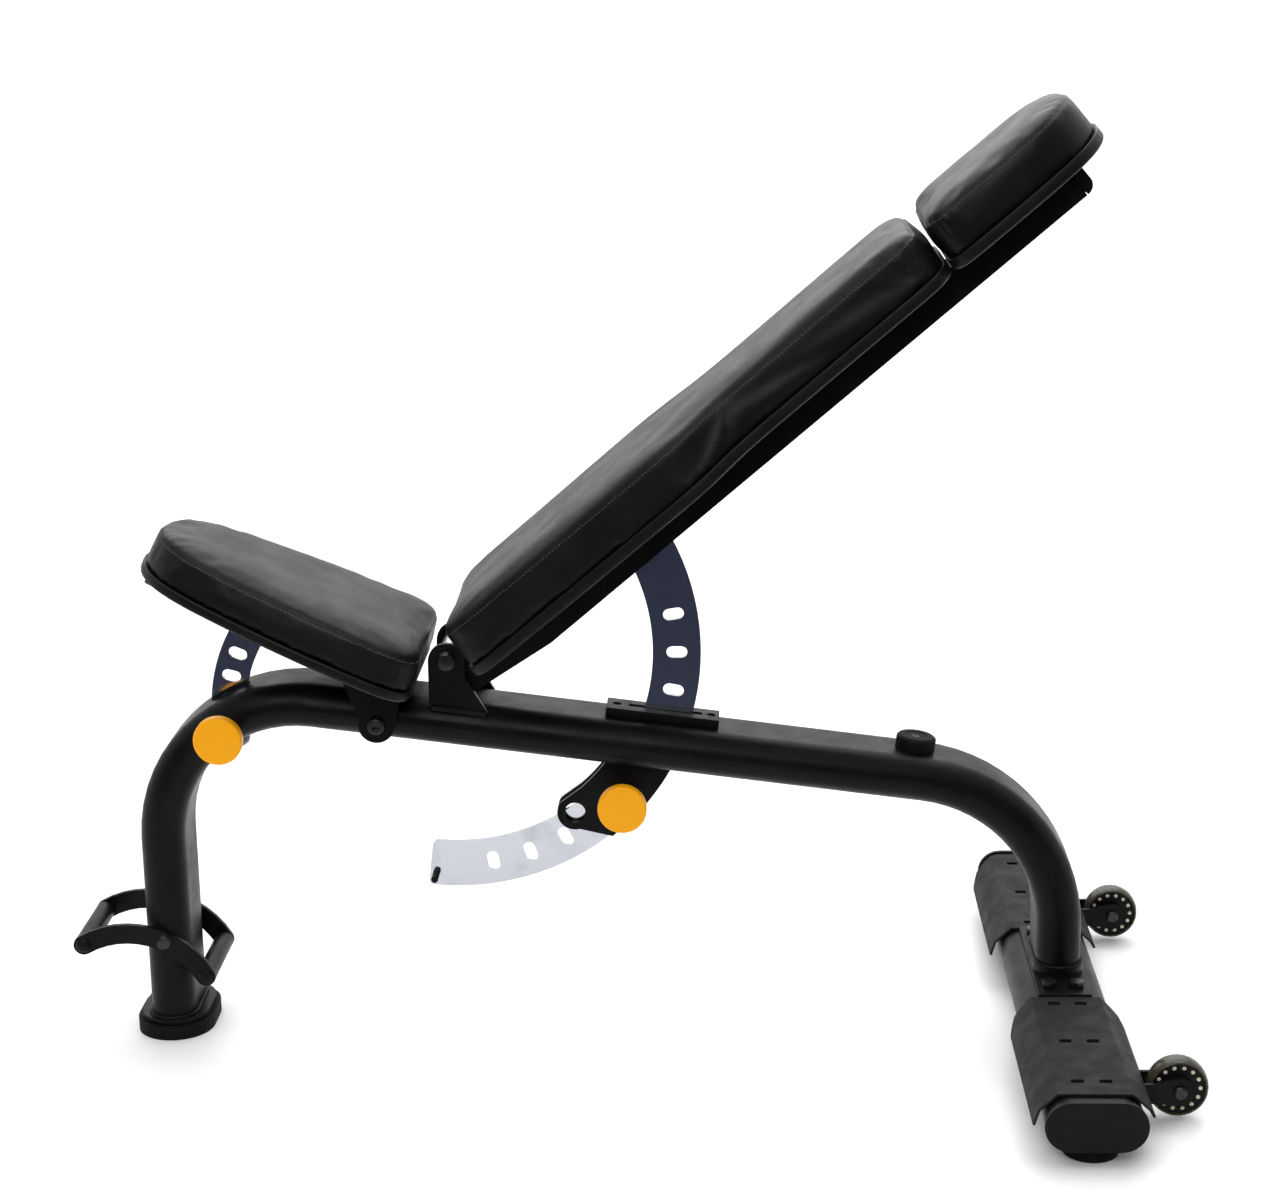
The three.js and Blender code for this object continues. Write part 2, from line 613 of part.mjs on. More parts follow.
function latchPlate(y) {
  const { x, z } = BACK_PIVOT;
  const tip = polar(BACK_PIVOT, LATCH.end.radius, LATCH.end.angle);
  const shape = new THREE.Shape();
  shape.absarc(x, z, LATCH.outer, rad(-20), rad(-50.5), true);
  shape.absarc(tip.x, tip.z, LATCH.end.size, rad(-75), rad(-215), true);
  shape.absarc(x, z, LATCH.inner, rad(-48), rad(-25), false);
  shape.closePath();
  shape.holes.push(roundHole(tip.x, tip.z, LATCH.hole));
  shape.holes.push(roundHole(BACK_PIN.x, BACK_PIN.z, PIN_RADIUS + 0.3));
  const body = plate(shape, LATCH.thickness, y);
  const above = block(-300, 300, -30, 30, 0, 200);
  above.rotateY(beamAngle).translate(0, 0, beamTop(0) - TUBE_DEPTH / Math.cos(beamAngle) - GAP);
  return cut(body, above);
}

piece('latch_plate_near', latchPlate(-LATCH.y), BLACK_STEEL);
piece('latch_plate_far', latchPlate(LATCH.y), BLACK_STEEL);

// ---------------------------------------------------------------- pop-pins
// Each housing holds a collared pin that a coil spring pushes towards +Y into the selector arc.
// The pins are drawn pulled out, with the spring squeezed between collar and housing end.
const PIN_TIP = -ARC_THICKNESS / 2 - 1;
const BACK_POP = { inner: -11.6, outer: -43, collar: -28, knob: -57 };
const SEAT_POP = { inner: -9, outer: -49.2, collar: -32, knob: -63 };
const END_WALL = 3;
const COLLAR = 4;
const BORE = 7.8;

function pinHousing(pop, place) {
  const wall = PIN_RADIUS + 0.2;
  return turned([
    [wall, pop.inner], [HOUSING_RADIUS, pop.inner], [HOUSING_RADIUS, pop.outer], [wall, pop.outer],
    [wall, pop.outer + END_WALL], [BORE, pop.outer + END_WALL], [BORE, pop.inner - END_WALL],
    [wall, pop.inner - END_WALL], [wall, pop.inner],
  ].reverse(), place.x, place.z, 20);
}

function popPin(pop, place) {
  return turned([
    [0, pop.knob - 6], [PIN_RADIUS, pop.knob - 6], [PIN_RADIUS, pop.collar - COLLAR],
    [7.3, pop.collar - COLLAR], [7.3, pop.collar], [PIN_RADIUS, pop.collar],
    [PIN_RADIUS, PIN_TIP - 1], [PIN_RADIUS - 1, PIN_TIP], [0, PIN_TIP],
  ], place.x, place.z, 20);
}

function knob(pop, place) {
  const face = pop.knob - KNOB_THICKNESS;
  const edge = KNOB_RADIUS - 2.5;
  const bore = PIN_RADIUS + GAP;
  return turned([
    [0, face], [edge, face], [KNOB_RADIUS - 0.7, face + 0.7], [KNOB_RADIUS, face + 2.5],
    [KNOB_RADIUS, pop.knob - 2.5], [edge, pop.knob], [bore, pop.knob],
    [bore, pop.knob - 6 - GAP], [0, pop.knob - 6 - GAP],
  ], place.x, place.z, 36);
}

class Helix extends THREE.Curve {
  constructor(radius, start, length, turns) {
    super();
    Object.assign(this, { radius, start, length, turns });
  }

  getPoint(t, target = new THREE.Vector3()) {
    const angle = 2 * Math.PI * this.turns * t;
    const y = this.start + this.length * t;
    return target.set(this.radius * Math.cos(angle), y, this.radius * Math.sin(angle));
  }
}

function pinSpring(pop, place) {
  const wire = 0.65;
  const start = pop.outer + END_WALL + GAP + wire;
  const length = pop.collar - COLLAR - GAP - wire - start;
  const options = { extrudePath: new Helix(6.2, start, length, 3.5), steps: 32 };
  const section = new THREE.Shape(new THREE.EllipseCurve(0, 0, wire, wire).getPoints(5).slice(0, 5));
  return new THREE.ExtrudeGeometry(section, options).translate(place.x, 0, place.z);
}

for (const [name, pop, place] of [['back', BACK_POP, BACK_PIN], ['seat', SEAT_POP, SEAT_PIN]]) {
  piece(`${name}_pin_housing`, pinHousing(pop, place), BLACK_STEEL);
  piece(`${name}_pin_spring`, pinSpring(pop, place), ZINC);
  piece(`${name}_pin`, popPin(pop, place), POLISHED);
  piece(`${name}_knob`, knob(pop, place), ORANGE);
}

// ---------------------------------------------------------------- bumper on the beam
const BUMPER_X = 324;

function bumper() {
  return turned([
    [0, 0], [22, 0], [22, 13], [19.5, 15.5], [13, 15.5], [12, 14.5], [4, 14.5], [4, 11], [0, 11],
  ], 0, 0, 36).rotateX(Math.PI / 2);
}

const stopBuffer = piece('beam_bumper', bumper(), RUBBER);
stopBuffer.position.set(BUMPER_X, 0, beamTop(BUMPER_X) + GAP);
stopBuffer.rotation.y = beamAngle;

// ---------------------------------------------------------------- pads and boards
// Half of an outline, drawn from the centre line out and back to it, is mirrored across y = 0.
function mirrored(half, divisions) {
  const points = half.getPoints(divisions);
  const back = points.slice(1, -1).reverse();
  return [...points, ...back.map(p => new THREE.Vector2(p.x, -p.y))];
}

function inset(points, distance) {
  const count = points.length;
  const winding = Math.sign(THREE.ShapeUtils.area(points));
  return points.map((p, i) => {
    const before = points[(i + count - 1) % count];
    const after = points[(i + 1) % count];
    const along = after.clone().sub(before).normalize();
    return new THREE.Vector2(p.x - winding * along.y * distance, p.y + winding * along.x * distance);
  });
}

// A slab with a vertical wall and a rounded upper edge, built from rings that step inwards.
function cushion(points, low, high, edge, steps = 3) {
  const rings = [points.map(p => [p.x, p.y, low])];
  for (let i = 0; i <= steps; i += 1) {
    const angle = (i / steps) * Math.PI / 2;
    const height = high - edge + edge * Math.sin(angle);
    rings.push(inset(points, edge * (1 - Math.cos(angle))).map(p => [p.x, p.y, height]));
  }
  const count = points.length;
  const winding = Math.sign(THREE.ShapeUtils.area(points));
  const index = [];
  const triangle = (a, b, c) => index.push(...(winding > 0 ? [a, b, c] : [a, c, b]));
  for (let r = 0; r < rings.length - 1; r += 1) {
    for (let i = 0; i < count; i += 1) {
      const j = (i + 1) % count;
      const [a, b, c, d] = [r * count + i, r * count + j, (r + 1) * count + j, (r + 1) * count + i];
      triangle(a, b, c);
      triangle(a, c, d);
    }
  }
  const top = (rings.length - 1) * count;
  const outline = rings[0].map(([x, y]) => new THREE.Vector2(x, y));
  for (const [a, b, c] of THREE.ShapeUtils.triangulateShape(outline, [])) {
    const turn = new THREE.Vector2().subVectors(outline[b], outline[a])
      .cross(new THREE.Vector2().subVectors(outline[c], outline[a])) > 0;
    const [p, q, s] = turn ? [a, b, c] : [a, c, b];
    index.push(p, s, q);
    index.push(top + p, top + q, top + s);
  }
  const geometry = new THREE.BufferGeometry();
  geometry.setAttribute('position', new THREE.Float32BufferAttribute(rings.flat(2), 3));
  geometry.setIndex(index);
  return geometry;
}

function board(points, low, high) {
  const shape = new THREE.Shape(inset(points, 4));
  return new THREE.ExtrudeGeometry(shape, { depth: high - low, bevelEnabled: false }).translate(0, 0, low);
}

function backOutline() {
  const half = new THREE.Path();
  half.moveTo(28, 0);
  half.lineTo(28, 86);
  half.quadraticCurveTo(28, 122, 64, 125);
  half.bezierCurveTo(150, 130, 260, 138, 330, 138);
  half.bezierCurveTo(375, 138, 385, 109, 430, 107);
  half.bezierCurveTo(500, 105, 580, 104, 640, 104);
  half.quadraticCurveTo(682, 104, 682, 66);
  half.lineTo(682, 0);
  return mirrored(half, 6);
}

function headOutline() {
  const half = new THREE.Path();
  half.moveTo(686, 0);
  half.lineTo(686, 70);
  half.quadraticCurveTo(686, 100, 717, 101);
  half.bezierCurveTo(758, 102, 796, 102, 830, 97);
  half.bezierCurveTo(868, 91, 888, 62, 888, 0);
  return mirrored(half, 6);
}

function seatOutline() {
  const half = new THREE.Path();
  half.moveTo(21, 0);
  half.lineTo(21, 86);
  half.quadraticCurveTo(20, 117, -20, 118);
  half.bezierCurveTo(-98, 120, -170, 106, -230, 91);
  half.bezierCurveTo(-283, 76, -304, 46, -304, 0);
  return mirrored(half, 6);
}

// ---------------------------------------------------------------- backrest
const backrest = new THREE.Group();
backrest.position.set(BACK_PIVOT.x, 0, BACK_PIVOT.z);
backrest.rotation.y = -rad(BACK_REST);
bench.add(backrest);

const CAP_ROUND = 12;
const BACK_BEAM = { from: 46, to: 836, half: 36, top: BOARD_LOW - GAP, wall: 3 };
const LUG_INNER = 30;
const LUG_RADIUS = 14.5;
const BUSH_RADIUS = 10.5;
const BUSH_FLANGE = 1;                 // how far each bush stands out of its lug
const LUG_LOW = -47.4;                 // underside of the lugs below the hinge

// Rectangular tube with two lugs that reach back to the hinge pin.  Their underside follows the top
// of the frame beam, which they come down to when the backrest lies flat.
function backrestBeam() {
  const { from, to, half, top, wall } = BACK_BEAM;
  const tube = cut(
    block(from, to, -half, half, BEAM_LOW, top),
    block(from - 9, to + 9, wall - half, half - wall, BEAM_LOW + wall, top - wall),
  );
  const lug = new THREE.Shape();
  lug.absarc(0, 0, LUG_RADIUS, 0, Math.PI, false);
  lug.lineTo(-9, -36);
  lug.lineTo(-3, BEAM_LOW - 3);
  lug.lineTo(78, BEAM_LOW - 3);
  lug.lineTo(78, top);
  lug.lineTo(23, top);
  lug.closePath();
  lug.holes.push(roundHole(0, 0, BUSH_RADIUS + GAP));
  const lugY = (LUG_INNER + half) / 2;
  const lugs = [-lugY, lugY].map(y => plate(lug, half - LUG_INNER, y, 12));
  const underside = block(-95, 130, -50, 50, -30, 0);
  underside.rotateY(beamAngle).translate(0, 0, LUG_LOW);
  return cut(join(tube, ...lugs), underside);
}

// Cap with a rounded lower corner that plugs the beam's top end.
function beamCap() {
  const { to, half, top, wall } = BACK_BEAM;
  const shape = new THREE.Shape();
  const face = to + GAP;
  shape.moveTo(face, BEAM_LOW);
  shape.absarc(face + 1, BEAM_LOW + CAP_ROUND, CAP_ROUND, -Math.PI / 2, 0, false);
  shape.lineTo(face + 1 + CAP_ROUND, top);
  shape.lineTo(face, top);
  shape.closePath();
  const inset = wall + GAP;
  const plug = block(to - 14, to + 2, inset - half, half - inset, BEAM_LOW + inset, top - inset);
  return join(plate(shape, 2 * half, 0, 5), plug);
}

// Slotted arc about the hinge: each slot meets the pin at one of the backrest's stop angles.
function backArc() {
  const { inner, middle, outer, end } = BACK_ARC;
  const lineZ = BEAM_LOW - GAP;
  const start = r => Math.asin(lineZ / r);
  const corner = 7;
  const shape = new THREE.Shape();
  const finish = -rad(end);
  const at = (r, angle) => [r * Math.cos(angle), r * Math.sin(angle)];
  shape.moveTo(...at(inner, start(inner)));
  shape.lineTo(...at(outer, start(outer)));
  longArc(shape, outer, start(outer), finish + corner / outer);
  shape.quadraticCurveTo(...at(outer, finish), ...at(outer - corner, finish));
  shape.lineTo(...at(inner + corner, finish));
  shape.quadraticCurveTo(...at(inner, finish), ...at(inner, finish + corner / inner));
  longArc(shape, inner, finish + corner / inner, start(inner));
  for (const stop of BACK_STOPS) {
    shape.holes.push(radialSlot(middle, -(stop + BACK_PIN_ANGLE)));
  }
  shape.holes.push(roundHole(...at(ARC_STOP.radius, -rad(ARC_STOP.angle)), ARC_STOP.size + GAP));
  return plate(shape, ARC_THICKNESS, 0, 4);
}

// Cross pin at the arc's lower end, with a groove that keeps it in the plate.
function arcStopPin() {
  const { radius, angle, size, half } = ARC_STOP;
  const { x, z } = polar({ x: 0, z: 0 }, radius, -angle);
  const groove = ARC_THICKNESS / 2 + GAP;
  const head = size + 1;
  return turned([
    [0, -half], [head, -half], [head, -groove], [size, -groove],
    [size, groove], [head, groove], [head, half], [0, half],
  ], x, z, 16);
}

piece('backrest_beam', backrestBeam(), BLACK_STEEL, backrest);
piece('backrest_beam_cap', beamCap(), PLASTIC, backrest);
for (const [side, sign] of [['near', -1], ['far', 1]]) {
  const y = sign * (LUG_INNER + BACK_BEAM.half) / 2;
  const half = (BACK_BEAM.half - LUG_INNER) / 2 + BUSH_FLANGE;
  const bush = ring(HINGE_PIN + 0.1, BUSH_RADIUS, y - half, y + half, 0, 0, 32);
  piece(`hinge_bush_${side}`, bush, BRONZE, backrest);
}
const spacerHalf = LUG_INNER - BUSH_FLANGE - GAP;
const spacer = ring(HINGE_PIN + GAP, 11.5, -spacerHalf, spacerHalf, 0, 0, 28);
piece('hinge_spacer', spacer, ZINC, backrest);
piece('back_board', board(backOutline(), BOARD_LOW, BACK_PAD.low - GAP), BOARD, backrest);
piece('back_pad', cushion(backOutline(), BACK_PAD.low, BACK_PAD.high, 16), VINYL, backrest);
piece('head_board', board(headOutline(), BOARD_LOW, HEAD_PAD.low - GAP), BOARD, backrest);
piece('head_pad', cushion(headOutline(), HEAD_PAD.low, HEAD_PAD.high, 14), VINYL, backrest);
piece('back_selector_arc', backArc(), POLISHED, backrest);
piece('arc_stop_pin', arcStopPin(), BLACK_STEEL, backrest);

// ---------------------------------------------------------------- seat
const seat = new THREE.Group();
seat.position.set(SEAT_PIVOT.x, 0, SEAT_PIVOT.z);
seat.rotation.y = rad(SEAT_REST);
bench.add(seat);

const SEAT_EAR = { inner: 51, outer: 56, radius: 20 };

// Top plate and rail under the seat, with an ear down each side of the frame tube.
function seatBracket() {
  const { inner, outer, radius } = SEAT_EAR;
  const top = SEAT_BOARD.low - GAP;
  const ear = new THREE.Shape();
  ear.absarc(0, 0, radius, Math.PI, 2 * Math.PI, false);
  ear.lineTo(10, top);
  ear.lineTo(-64, top);
  ear.lineTo(-60, SEAT_RAIL_LOW - 8);
  ear.closePath();
  ear.holes.push(roundHole(0, 0, SEAT_BOLT + GAP));
  const earY = (inner + outer) / 2;
  const ears = [-earY, earY].map(y => plate(ear, outer - inner, y));
  const cross = block(-62, 8, -outer, outer, SEAT_RAIL_LOW, top);
  const rail = block(-258, -50, -24, 24, SEAT_RAIL_LOW, top);
  return join(cross, rail, ...ears);
}

function seatArc() {
  const { inner, middle, outer, end } = SEAT_ARC;
  const lineZ = SEAT_RAIL_LOW - GAP;
  const start = r => Math.PI - Math.asin(lineZ / r);
  const corner = 12;
  const finish = rad(end);
  const at = (r, angle) => [r * Math.cos(angle), r * Math.sin(angle)];
  const shape = new THREE.Shape();
  shape.moveTo(...at(inner, start(inner)));
  shape.lineTo(...at(outer, start(outer)));
  longArc(shape, outer, start(outer), finish - corner / outer);
  shape.quadraticCurveTo(...at(outer, finish), ...at(outer - corner, finish));
  shape.lineTo(...at(inner + corner, finish));
  shape.quadraticCurveTo(...at(inner, finish), ...at(inner, finish - corner / inner));
  longArc(shape, inner, finish - corner / inner, start(inner));
  for (const stop of SEAT_STOPS) {
    shape.holes.push(radialSlot(middle, 180 + SEAT_PIN_ANGLE + stop, 21, 12));
  }
  return plate(shape, ARC_THICKNESS, 0, 4);
}

function seatPivotBolt() {
  const head = SEAT_EAR.outer + GAP;
  return turned([
    [0, -head - 3], [3.5, -head - 3], [3.5, -head - 6], [8, -head - 6], [9.5, -head - 4.5], [9.5, -head],
    [SEAT_BOLT, -head], [SEAT_BOLT, head], [9.5, head], [9.5, head + 7], [0, head + 7],
  ], 0, 0, 24);
}

piece('seat_bracket', seatBracket(), BLACK_STEEL, seat);
piece('seat_pivot_bolt', seatPivotBolt(), BLACK_OXIDE, seat);
piece('seat_board', board(seatOutline(), SEAT_BOARD.low, SEAT_BOARD.high), BOARD, seat);
piece('seat_pad', cushion(seatOutline(), SEAT_BOARD.high + GAP, SEAT_PAD_HIGH, 13), VINYL, seat);
piece('seat_selector_arc', seatArc(), POLISHED, seat);

export default bench;
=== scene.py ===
"""Looks for an adjustable weight bench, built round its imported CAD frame.

The metal parts are the CAD nodes with procedural materials and fine bevels.  The three pads are
upholstered here: a cloth-simulated cushion with a crown seam and stitching, over a board whose
edge is wrapped in vinyl.  Screws, weld beads and the urethane in the hubs are added to the nodes.
Lengths are in metres, in the frame's own axes: +X to the wheel end, +Y away from the knobs, +Z up.
"""

import json
import math

import bmesh
import bpy
import numpy as np
from mathutils import Matrix, Vector
from mathutils.bvhtree import BVHTree


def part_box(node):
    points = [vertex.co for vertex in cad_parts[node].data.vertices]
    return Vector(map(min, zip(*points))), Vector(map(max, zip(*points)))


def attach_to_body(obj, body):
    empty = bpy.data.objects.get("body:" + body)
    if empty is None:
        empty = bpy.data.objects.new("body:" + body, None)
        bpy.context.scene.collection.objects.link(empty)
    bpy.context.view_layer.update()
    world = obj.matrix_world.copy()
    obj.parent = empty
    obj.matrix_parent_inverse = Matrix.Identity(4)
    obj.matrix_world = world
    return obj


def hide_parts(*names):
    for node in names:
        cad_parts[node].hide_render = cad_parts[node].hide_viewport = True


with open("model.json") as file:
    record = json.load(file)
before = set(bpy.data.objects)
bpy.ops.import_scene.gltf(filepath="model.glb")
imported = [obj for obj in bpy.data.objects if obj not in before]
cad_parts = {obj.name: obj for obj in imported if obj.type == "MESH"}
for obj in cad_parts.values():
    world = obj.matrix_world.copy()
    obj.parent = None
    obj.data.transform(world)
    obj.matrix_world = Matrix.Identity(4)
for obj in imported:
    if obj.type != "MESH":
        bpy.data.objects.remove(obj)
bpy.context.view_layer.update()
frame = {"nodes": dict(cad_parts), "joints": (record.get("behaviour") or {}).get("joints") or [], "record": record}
NODES = frame["nodes"]
JOINTS = {joint["name"]: joint for joint in frame["joints"]}

MM = 0.001
BACKREST_TILT = math.radians(40.3)
SEAT_TILT = math.radians(23.7)
# Undersides of the backrest's beam and the seat's rail, measured square to each from its hinge.
BACK_BEAM_LOW = -60 * MM
SEAT_RAIL_LOW = 47.5 * MM


# ---------------------------------------------------------------- camera, lights and stage
def make_camera():
    """Looks at the knob side of the bench, from a little above it."""
    yaw, pitch, roll = -0.039, 0.261, -0.013
    eye, lens, sensor = (0.123, -2.655, 1.207), 71.04, 36
    forward = Vector(
        (math.sin(yaw) * math.cos(pitch), math.cos(yaw) * math.cos(pitch), -math.sin(pitch))
    )
    level = Vector((math.cos(yaw), -math.sin(yaw), 0))
    upright = level.cross(forward)
    right = math.cos(roll) * level + math.sin(roll) * upright
    up = -math.sin(roll) * level + math.cos(roll) * upright
    camera = bpy.data.objects.new("camera", bpy.data.cameras.new("camera"))
    turn = Matrix((right, up, -forward)).transposed().to_4x4()
    camera.matrix_world = Matrix.Translation(eye) @ turn
    camera.data.sensor_width = sensor
    camera.data.lens = lens
    bpy.context.collection.objects.link(camera)
    bpy.context.scene.camera = camera


def make_light(name, place, target, size, power, color=(1, 1, 1)):
    data = bpy.data.lights.new(name, "AREA")
    data.shape = "RECTANGLE"
    data.size, data.size_y = size
    data.energy = power
    data.color = color
    light = bpy.data.objects.new(name, data)
    light.location = place
    light.rotation_mode = "QUATERNION"
    light.rotation_quaternion = (Vector(target) - Vector(place)).to_track_quat("-Z", "Y")
    bpy.context.collection.objects.link(light)


def make_stage():
    """A pale floor that curves up into a pale wall, in a soft white world."""
    bpy.context.scene.view_settings.view_transform = "Standard"
    world = bpy.data.worlds.new("studio")
    bpy.context.scene.world = world
    world.use_nodes = True
    background = world.node_tree.nodes["Background"]
    background.inputs["Color"].default_value = (1, 1, 1, 1)
    background.inputs["Strength"].default_value = 1.0

    half_width, front, back, bend, height, steps = 6.0, -5.0, 3.2, 1.2, 4.5, 12
    profile = [(front, 0.0), (back - bend, 0.0)]
    for i in range(1, steps + 1):
        angle = math.radians(90 * i / steps)
        profile.append((back - bend + bend * math.sin(angle), bend - bend * math.cos(angle)))
    profile.append((back, height))
    mesh = bpy.data.meshes.new("studio_floor")
    vertices = [(x, y, z) for y, z in profile for x in (-half_width, half_width)]
    faces = [(2 * i, 2 * i + 1, 2 * i + 3, 2 * i + 2) for i in range(len(profile) - 1)]
    mesh.from_pydata(vertices, [], faces)
    for polygon in mesh.polygons:
        polygon.use_smooth = True
    floor = bpy.data.objects.new("studio_floor", mesh)
    bpy.context.collection.objects.link(floor)
    mesh.materials.append(floor_material())


def make_flag(name, corners):
    """A dark studio panel that the camera doesn't see: it only deepens what the bench reflects."""
    mesh = bpy.data.meshes.new(name)
    mesh.from_pydata(corners, [], [(0, 1, 2, 3)])
    mesh.materials.append(Shader(name, (0.006, 0.011, 0.034), 0.9).material)
    flag = bpy.data.objects.new(name, mesh)
    flag.visible_camera = False
    bpy.context.collection.objects.link(flag)


def make_flags():
    """The unlit room in front of the white floor, on the knob side."""
    reach, near, far, height, lift = 4.0, -0.98, -4.2, 4.2, 0.01
    panel = [(-reach, near, lift), (reach, near, lift), (reach, far, lift), (-reach, far, lift)]
    make_flag("flag_floor", panel)
    panel = [(-reach, far, 0), (reach, far, 0), (reach, far, height), (-reach, far, height)]
    make_flag("flag_wall", panel)
    for name, x in (("flag_left", -reach), ("flag_right", reach)):
        make_flag(name, [(x, far, 0), (x, near, 0), (x, near, height), (x, far, height)])


def make_lights():
    make_light("key", (-1.2, -1.3, 3.2), (0, 0, 0.4), (1.6, 1.0), 14)
    make_light("fill", (-0.5, -3.0, 2.3), (0, 0, 0.35), (1.8, 0.8), 46)
    make_light("top", (0.3, 0.8, 3.2), (0, 0, 0.4), (3.0, 2.0), 60)
    make_light("back", (0.0, 2.6, 2.2), (0, 0, 0.3), (4.0, 1.6), 45)


# ---------------------------------------------------------------- materials
class Shader:
    """A small wrapper that keeps a node material's building short."""

    def __init__(self, name, color, roughness, metallic=0.0, **sockets):
        self.material = bpy.data.materials.new(name)
        self.material.use_nodes = True
        self.nodes = self.material.node_tree.nodes
        self.links = self.material.node_tree.links
        self.surface = self.nodes["Principled BSDF"]
        self.surface.inputs["Base Color"].default_value = (*color, 1)
        self.surface.inputs["Roughness"].default_value = roughness
        self.surface.inputs["Metallic"].default_value = metallic
        for socket, value in sockets.items():
            self.surface.inputs[socket.replace("_", " ")].default_value = value
        self.place = self.nodes.new("ShaderNodeTexCoord").outputs["Object"]

    def link(self, source, target):
        self.links.new(source, target)

    def noise(self, scale, detail=3.0, roughness=0.5, stretch=(1, 1, 1)):
        """Noise with features about one part in `scale` of a metre; its grey value."""
        mapping = self.nodes.new("ShaderNodeMapping")
        mapping.inputs["Scale"].default_value = stretch
        self.link(self.place, mapping.inputs["Vector"])
        node = self.nodes.new("ShaderNodeTexNoise")
        node.inputs["Scale"].default_value = scale
        node.inputs["Detail"].default_value = detail
        node.inputs["Roughness"].default_value = roughness
        self.link(mapping.outputs["Vector"], node.inputs["Vector"])
        return node.outputs["Fac"]

    def cells(self, scale, feature="F1", randomness=1.0):
        node = self.nodes.new("ShaderNodeTexVoronoi")
        node.feature = feature
        node.inputs["Scale"].default_value = scale
        node.inputs["Randomness"].default_value = randomness
        self.link(self.place, node.inputs["Vector"])
        return node.outputs["Distance"]

    def spread(self, value, low, high, out_low=0.0, out_high=1.0):
        """Maps a grey value's low..high to out_low..out_high, held at both ends."""
        node = self.nodes.new("ShaderNodeMapRange")
        node.interpolation_type = "SMOOTHSTEP"
        self.link(value, node.inputs["Value"])
        for socket, number in zip(
            ("From Min", "From Max", "To Min", "To Max"), (low, high, out_low, out_high)
        ):
            node.inputs[socket].default_value = number
        return node.outputs["Result"]

    def math(self, operation, first, second):
        node = self.nodes.new("ShaderNodeMath")
        node.operation = operation
        for socket, value in zip(node.inputs, (first, second)):
            if isinstance(value, (int, float)):
                socket.default_value = value
            else:
                self.link(value, socket)
        return node.outputs["Value"]

    def mix(self, factor, low, high):
        """Mixes two colours by a grey value."""
        node = self.nodes.new("ShaderNodeMix")
        node.data_type = "RGBA"
        self.link(factor, node.inputs["Factor"])
        color_a, color_b = [s for s in node.inputs if s.type == "RGBA"]
        for socket, value in ((color_a, low), (color_b, high)):
            if isinstance(value, tuple):
                socket.default_value = (*value, 1)
            else:
                self.link(value, socket)
        return next(s for s in node.outputs if s.type == "RGBA")

    def color(self, value):
        self.link(value, self.surface.inputs["Base Color"])

    def roughness(self, value):
        self.link(value, self.surface.inputs["Roughness"])

    def bump(self, height, depth, strength=1.0):
        """Raises the surface by height times depth, over any bump set before."""
        node = self.nodes.new("ShaderNodeBump")
        node.inputs["Distance"].default_value = depth
        node.inputs["Strength"].default_value = strength
        self.link(height, node.inputs["Height"])
        normal = self.surface.inputs["Normal"]
        if normal.is_linked:
            self.link(normal.links[0].from_socket, node.inputs["Normal"])
        self.link(node.outputs["Normal"], normal)

    def edges(self, low, high):
        """A grey value that is high on convex edges, from the mesh's own curvature."""
        geometry = self.nodes.new("ShaderNodeNewGeometry")
        return self.spread(geometry.outputs["Pointiness"], low, high)


def floor_material():
    shader = Shader("studio_floor", (0.9, 0.9, 0.9), 0.6)
    shader.color(shader.mix(shader.noise(3.0, 4.0), (0.88, 0.88, 0.88), (0.92, 0.92, 0.92)))
    return shader.material


def powder_coat():
    """Satin black powder coat: fine orange peel, faint cloudiness, greyed edges."""
    shader = Shader("powder_coat", (0.004, 0.004, 0.0044), 0.36, Specular_IOR_Level=0.1)
    cloud = shader.spread(shader.noise(14.0, 5.0, 0.6), 0.35, 0.7)
    tone = shader.mix(cloud, (0.003, 0.003, 0.0034), (0.0055, 0.0055, 0.006))
    patchy = shader.spread(shader.noise(60.0), 0.45, 0.7)
    worn = shader.math("MULTIPLY", shader.edges(0.54, 0.62), patchy)
    shader.color(shader.mix(worn, tone, (0.02, 0.02, 0.021)))
    shader.roughness(shader.spread(shader.noise(30.0, 6.0, 0.65), 0.3, 0.7, 0.34, 0.46))
    shader.bump(shader.noise(900.0, 2.0), 0.00006, 0.6)
    shader.bump(shader.noise(220.0, 2.0), 0.00008, 0.4)
    return shader.material


def tread_coat():
    """Charcoal anti-slip coat with a coarse sandy texture."""
    shader = Shader("tread_coat", (0.03, 0.03, 0.033), 0.62, Specular_IOR_Level=0.12)
    grit = shader.cells(1100.0)
    depth = shader.spread(grit, 0.0, 0.8)
    shader.color(shader.mix(depth, (0.022, 0.022, 0.0245), (0.01, 0.01, 0.0115)))
    shader.roughness(shader.spread(shader.noise(45.0, 5.0), 0.3, 0.7, 0.55, 0.72))
    shader.bump(grit, 0.0003, 0.55)
    shader.bump(shader.noise(2500.0, 3.0), 0.0001, 0.4)
    return shader.material


def moulded_rubber():
    shader = Shader("moulded_rubber", (0.005, 0.005, 0.005), 0.75, Specular_IOR_Level=0.1)
    dust = shader.spread(shader.noise(25.0, 6.0, 0.7), 0.45, 0.75)
    shader.color(shader.mix(dust, (0.004, 0.004, 0.004), (0.011, 0.0108, 0.0105)))
    shader.roughness(shader.spread(dust, 0.0, 1.0, 0.68, 0.85))
    shader.bump(shader.noise(1400.0, 2.0), 0.00008, 0.5)
    return shader.material


def moulded_nylon():
    shader = Shader("moulded_nylon", (0.005, 0.005, 0.0055), 0.45, Specular_IOR_Level=0.1)
    shader.color(shader.mix(shader.noise(40.0, 4.0), (0.004, 0.004, 0.0044), (0.0075, 0.0075, 0.008)))
    shader.roughness(shader.spread(shader.noise(55.0, 5.0), 0.3, 0.7, 0.38, 0.52))
    shader.bump(shader.cells(1800.0), 0.00006, 0.5)
    return shader.material


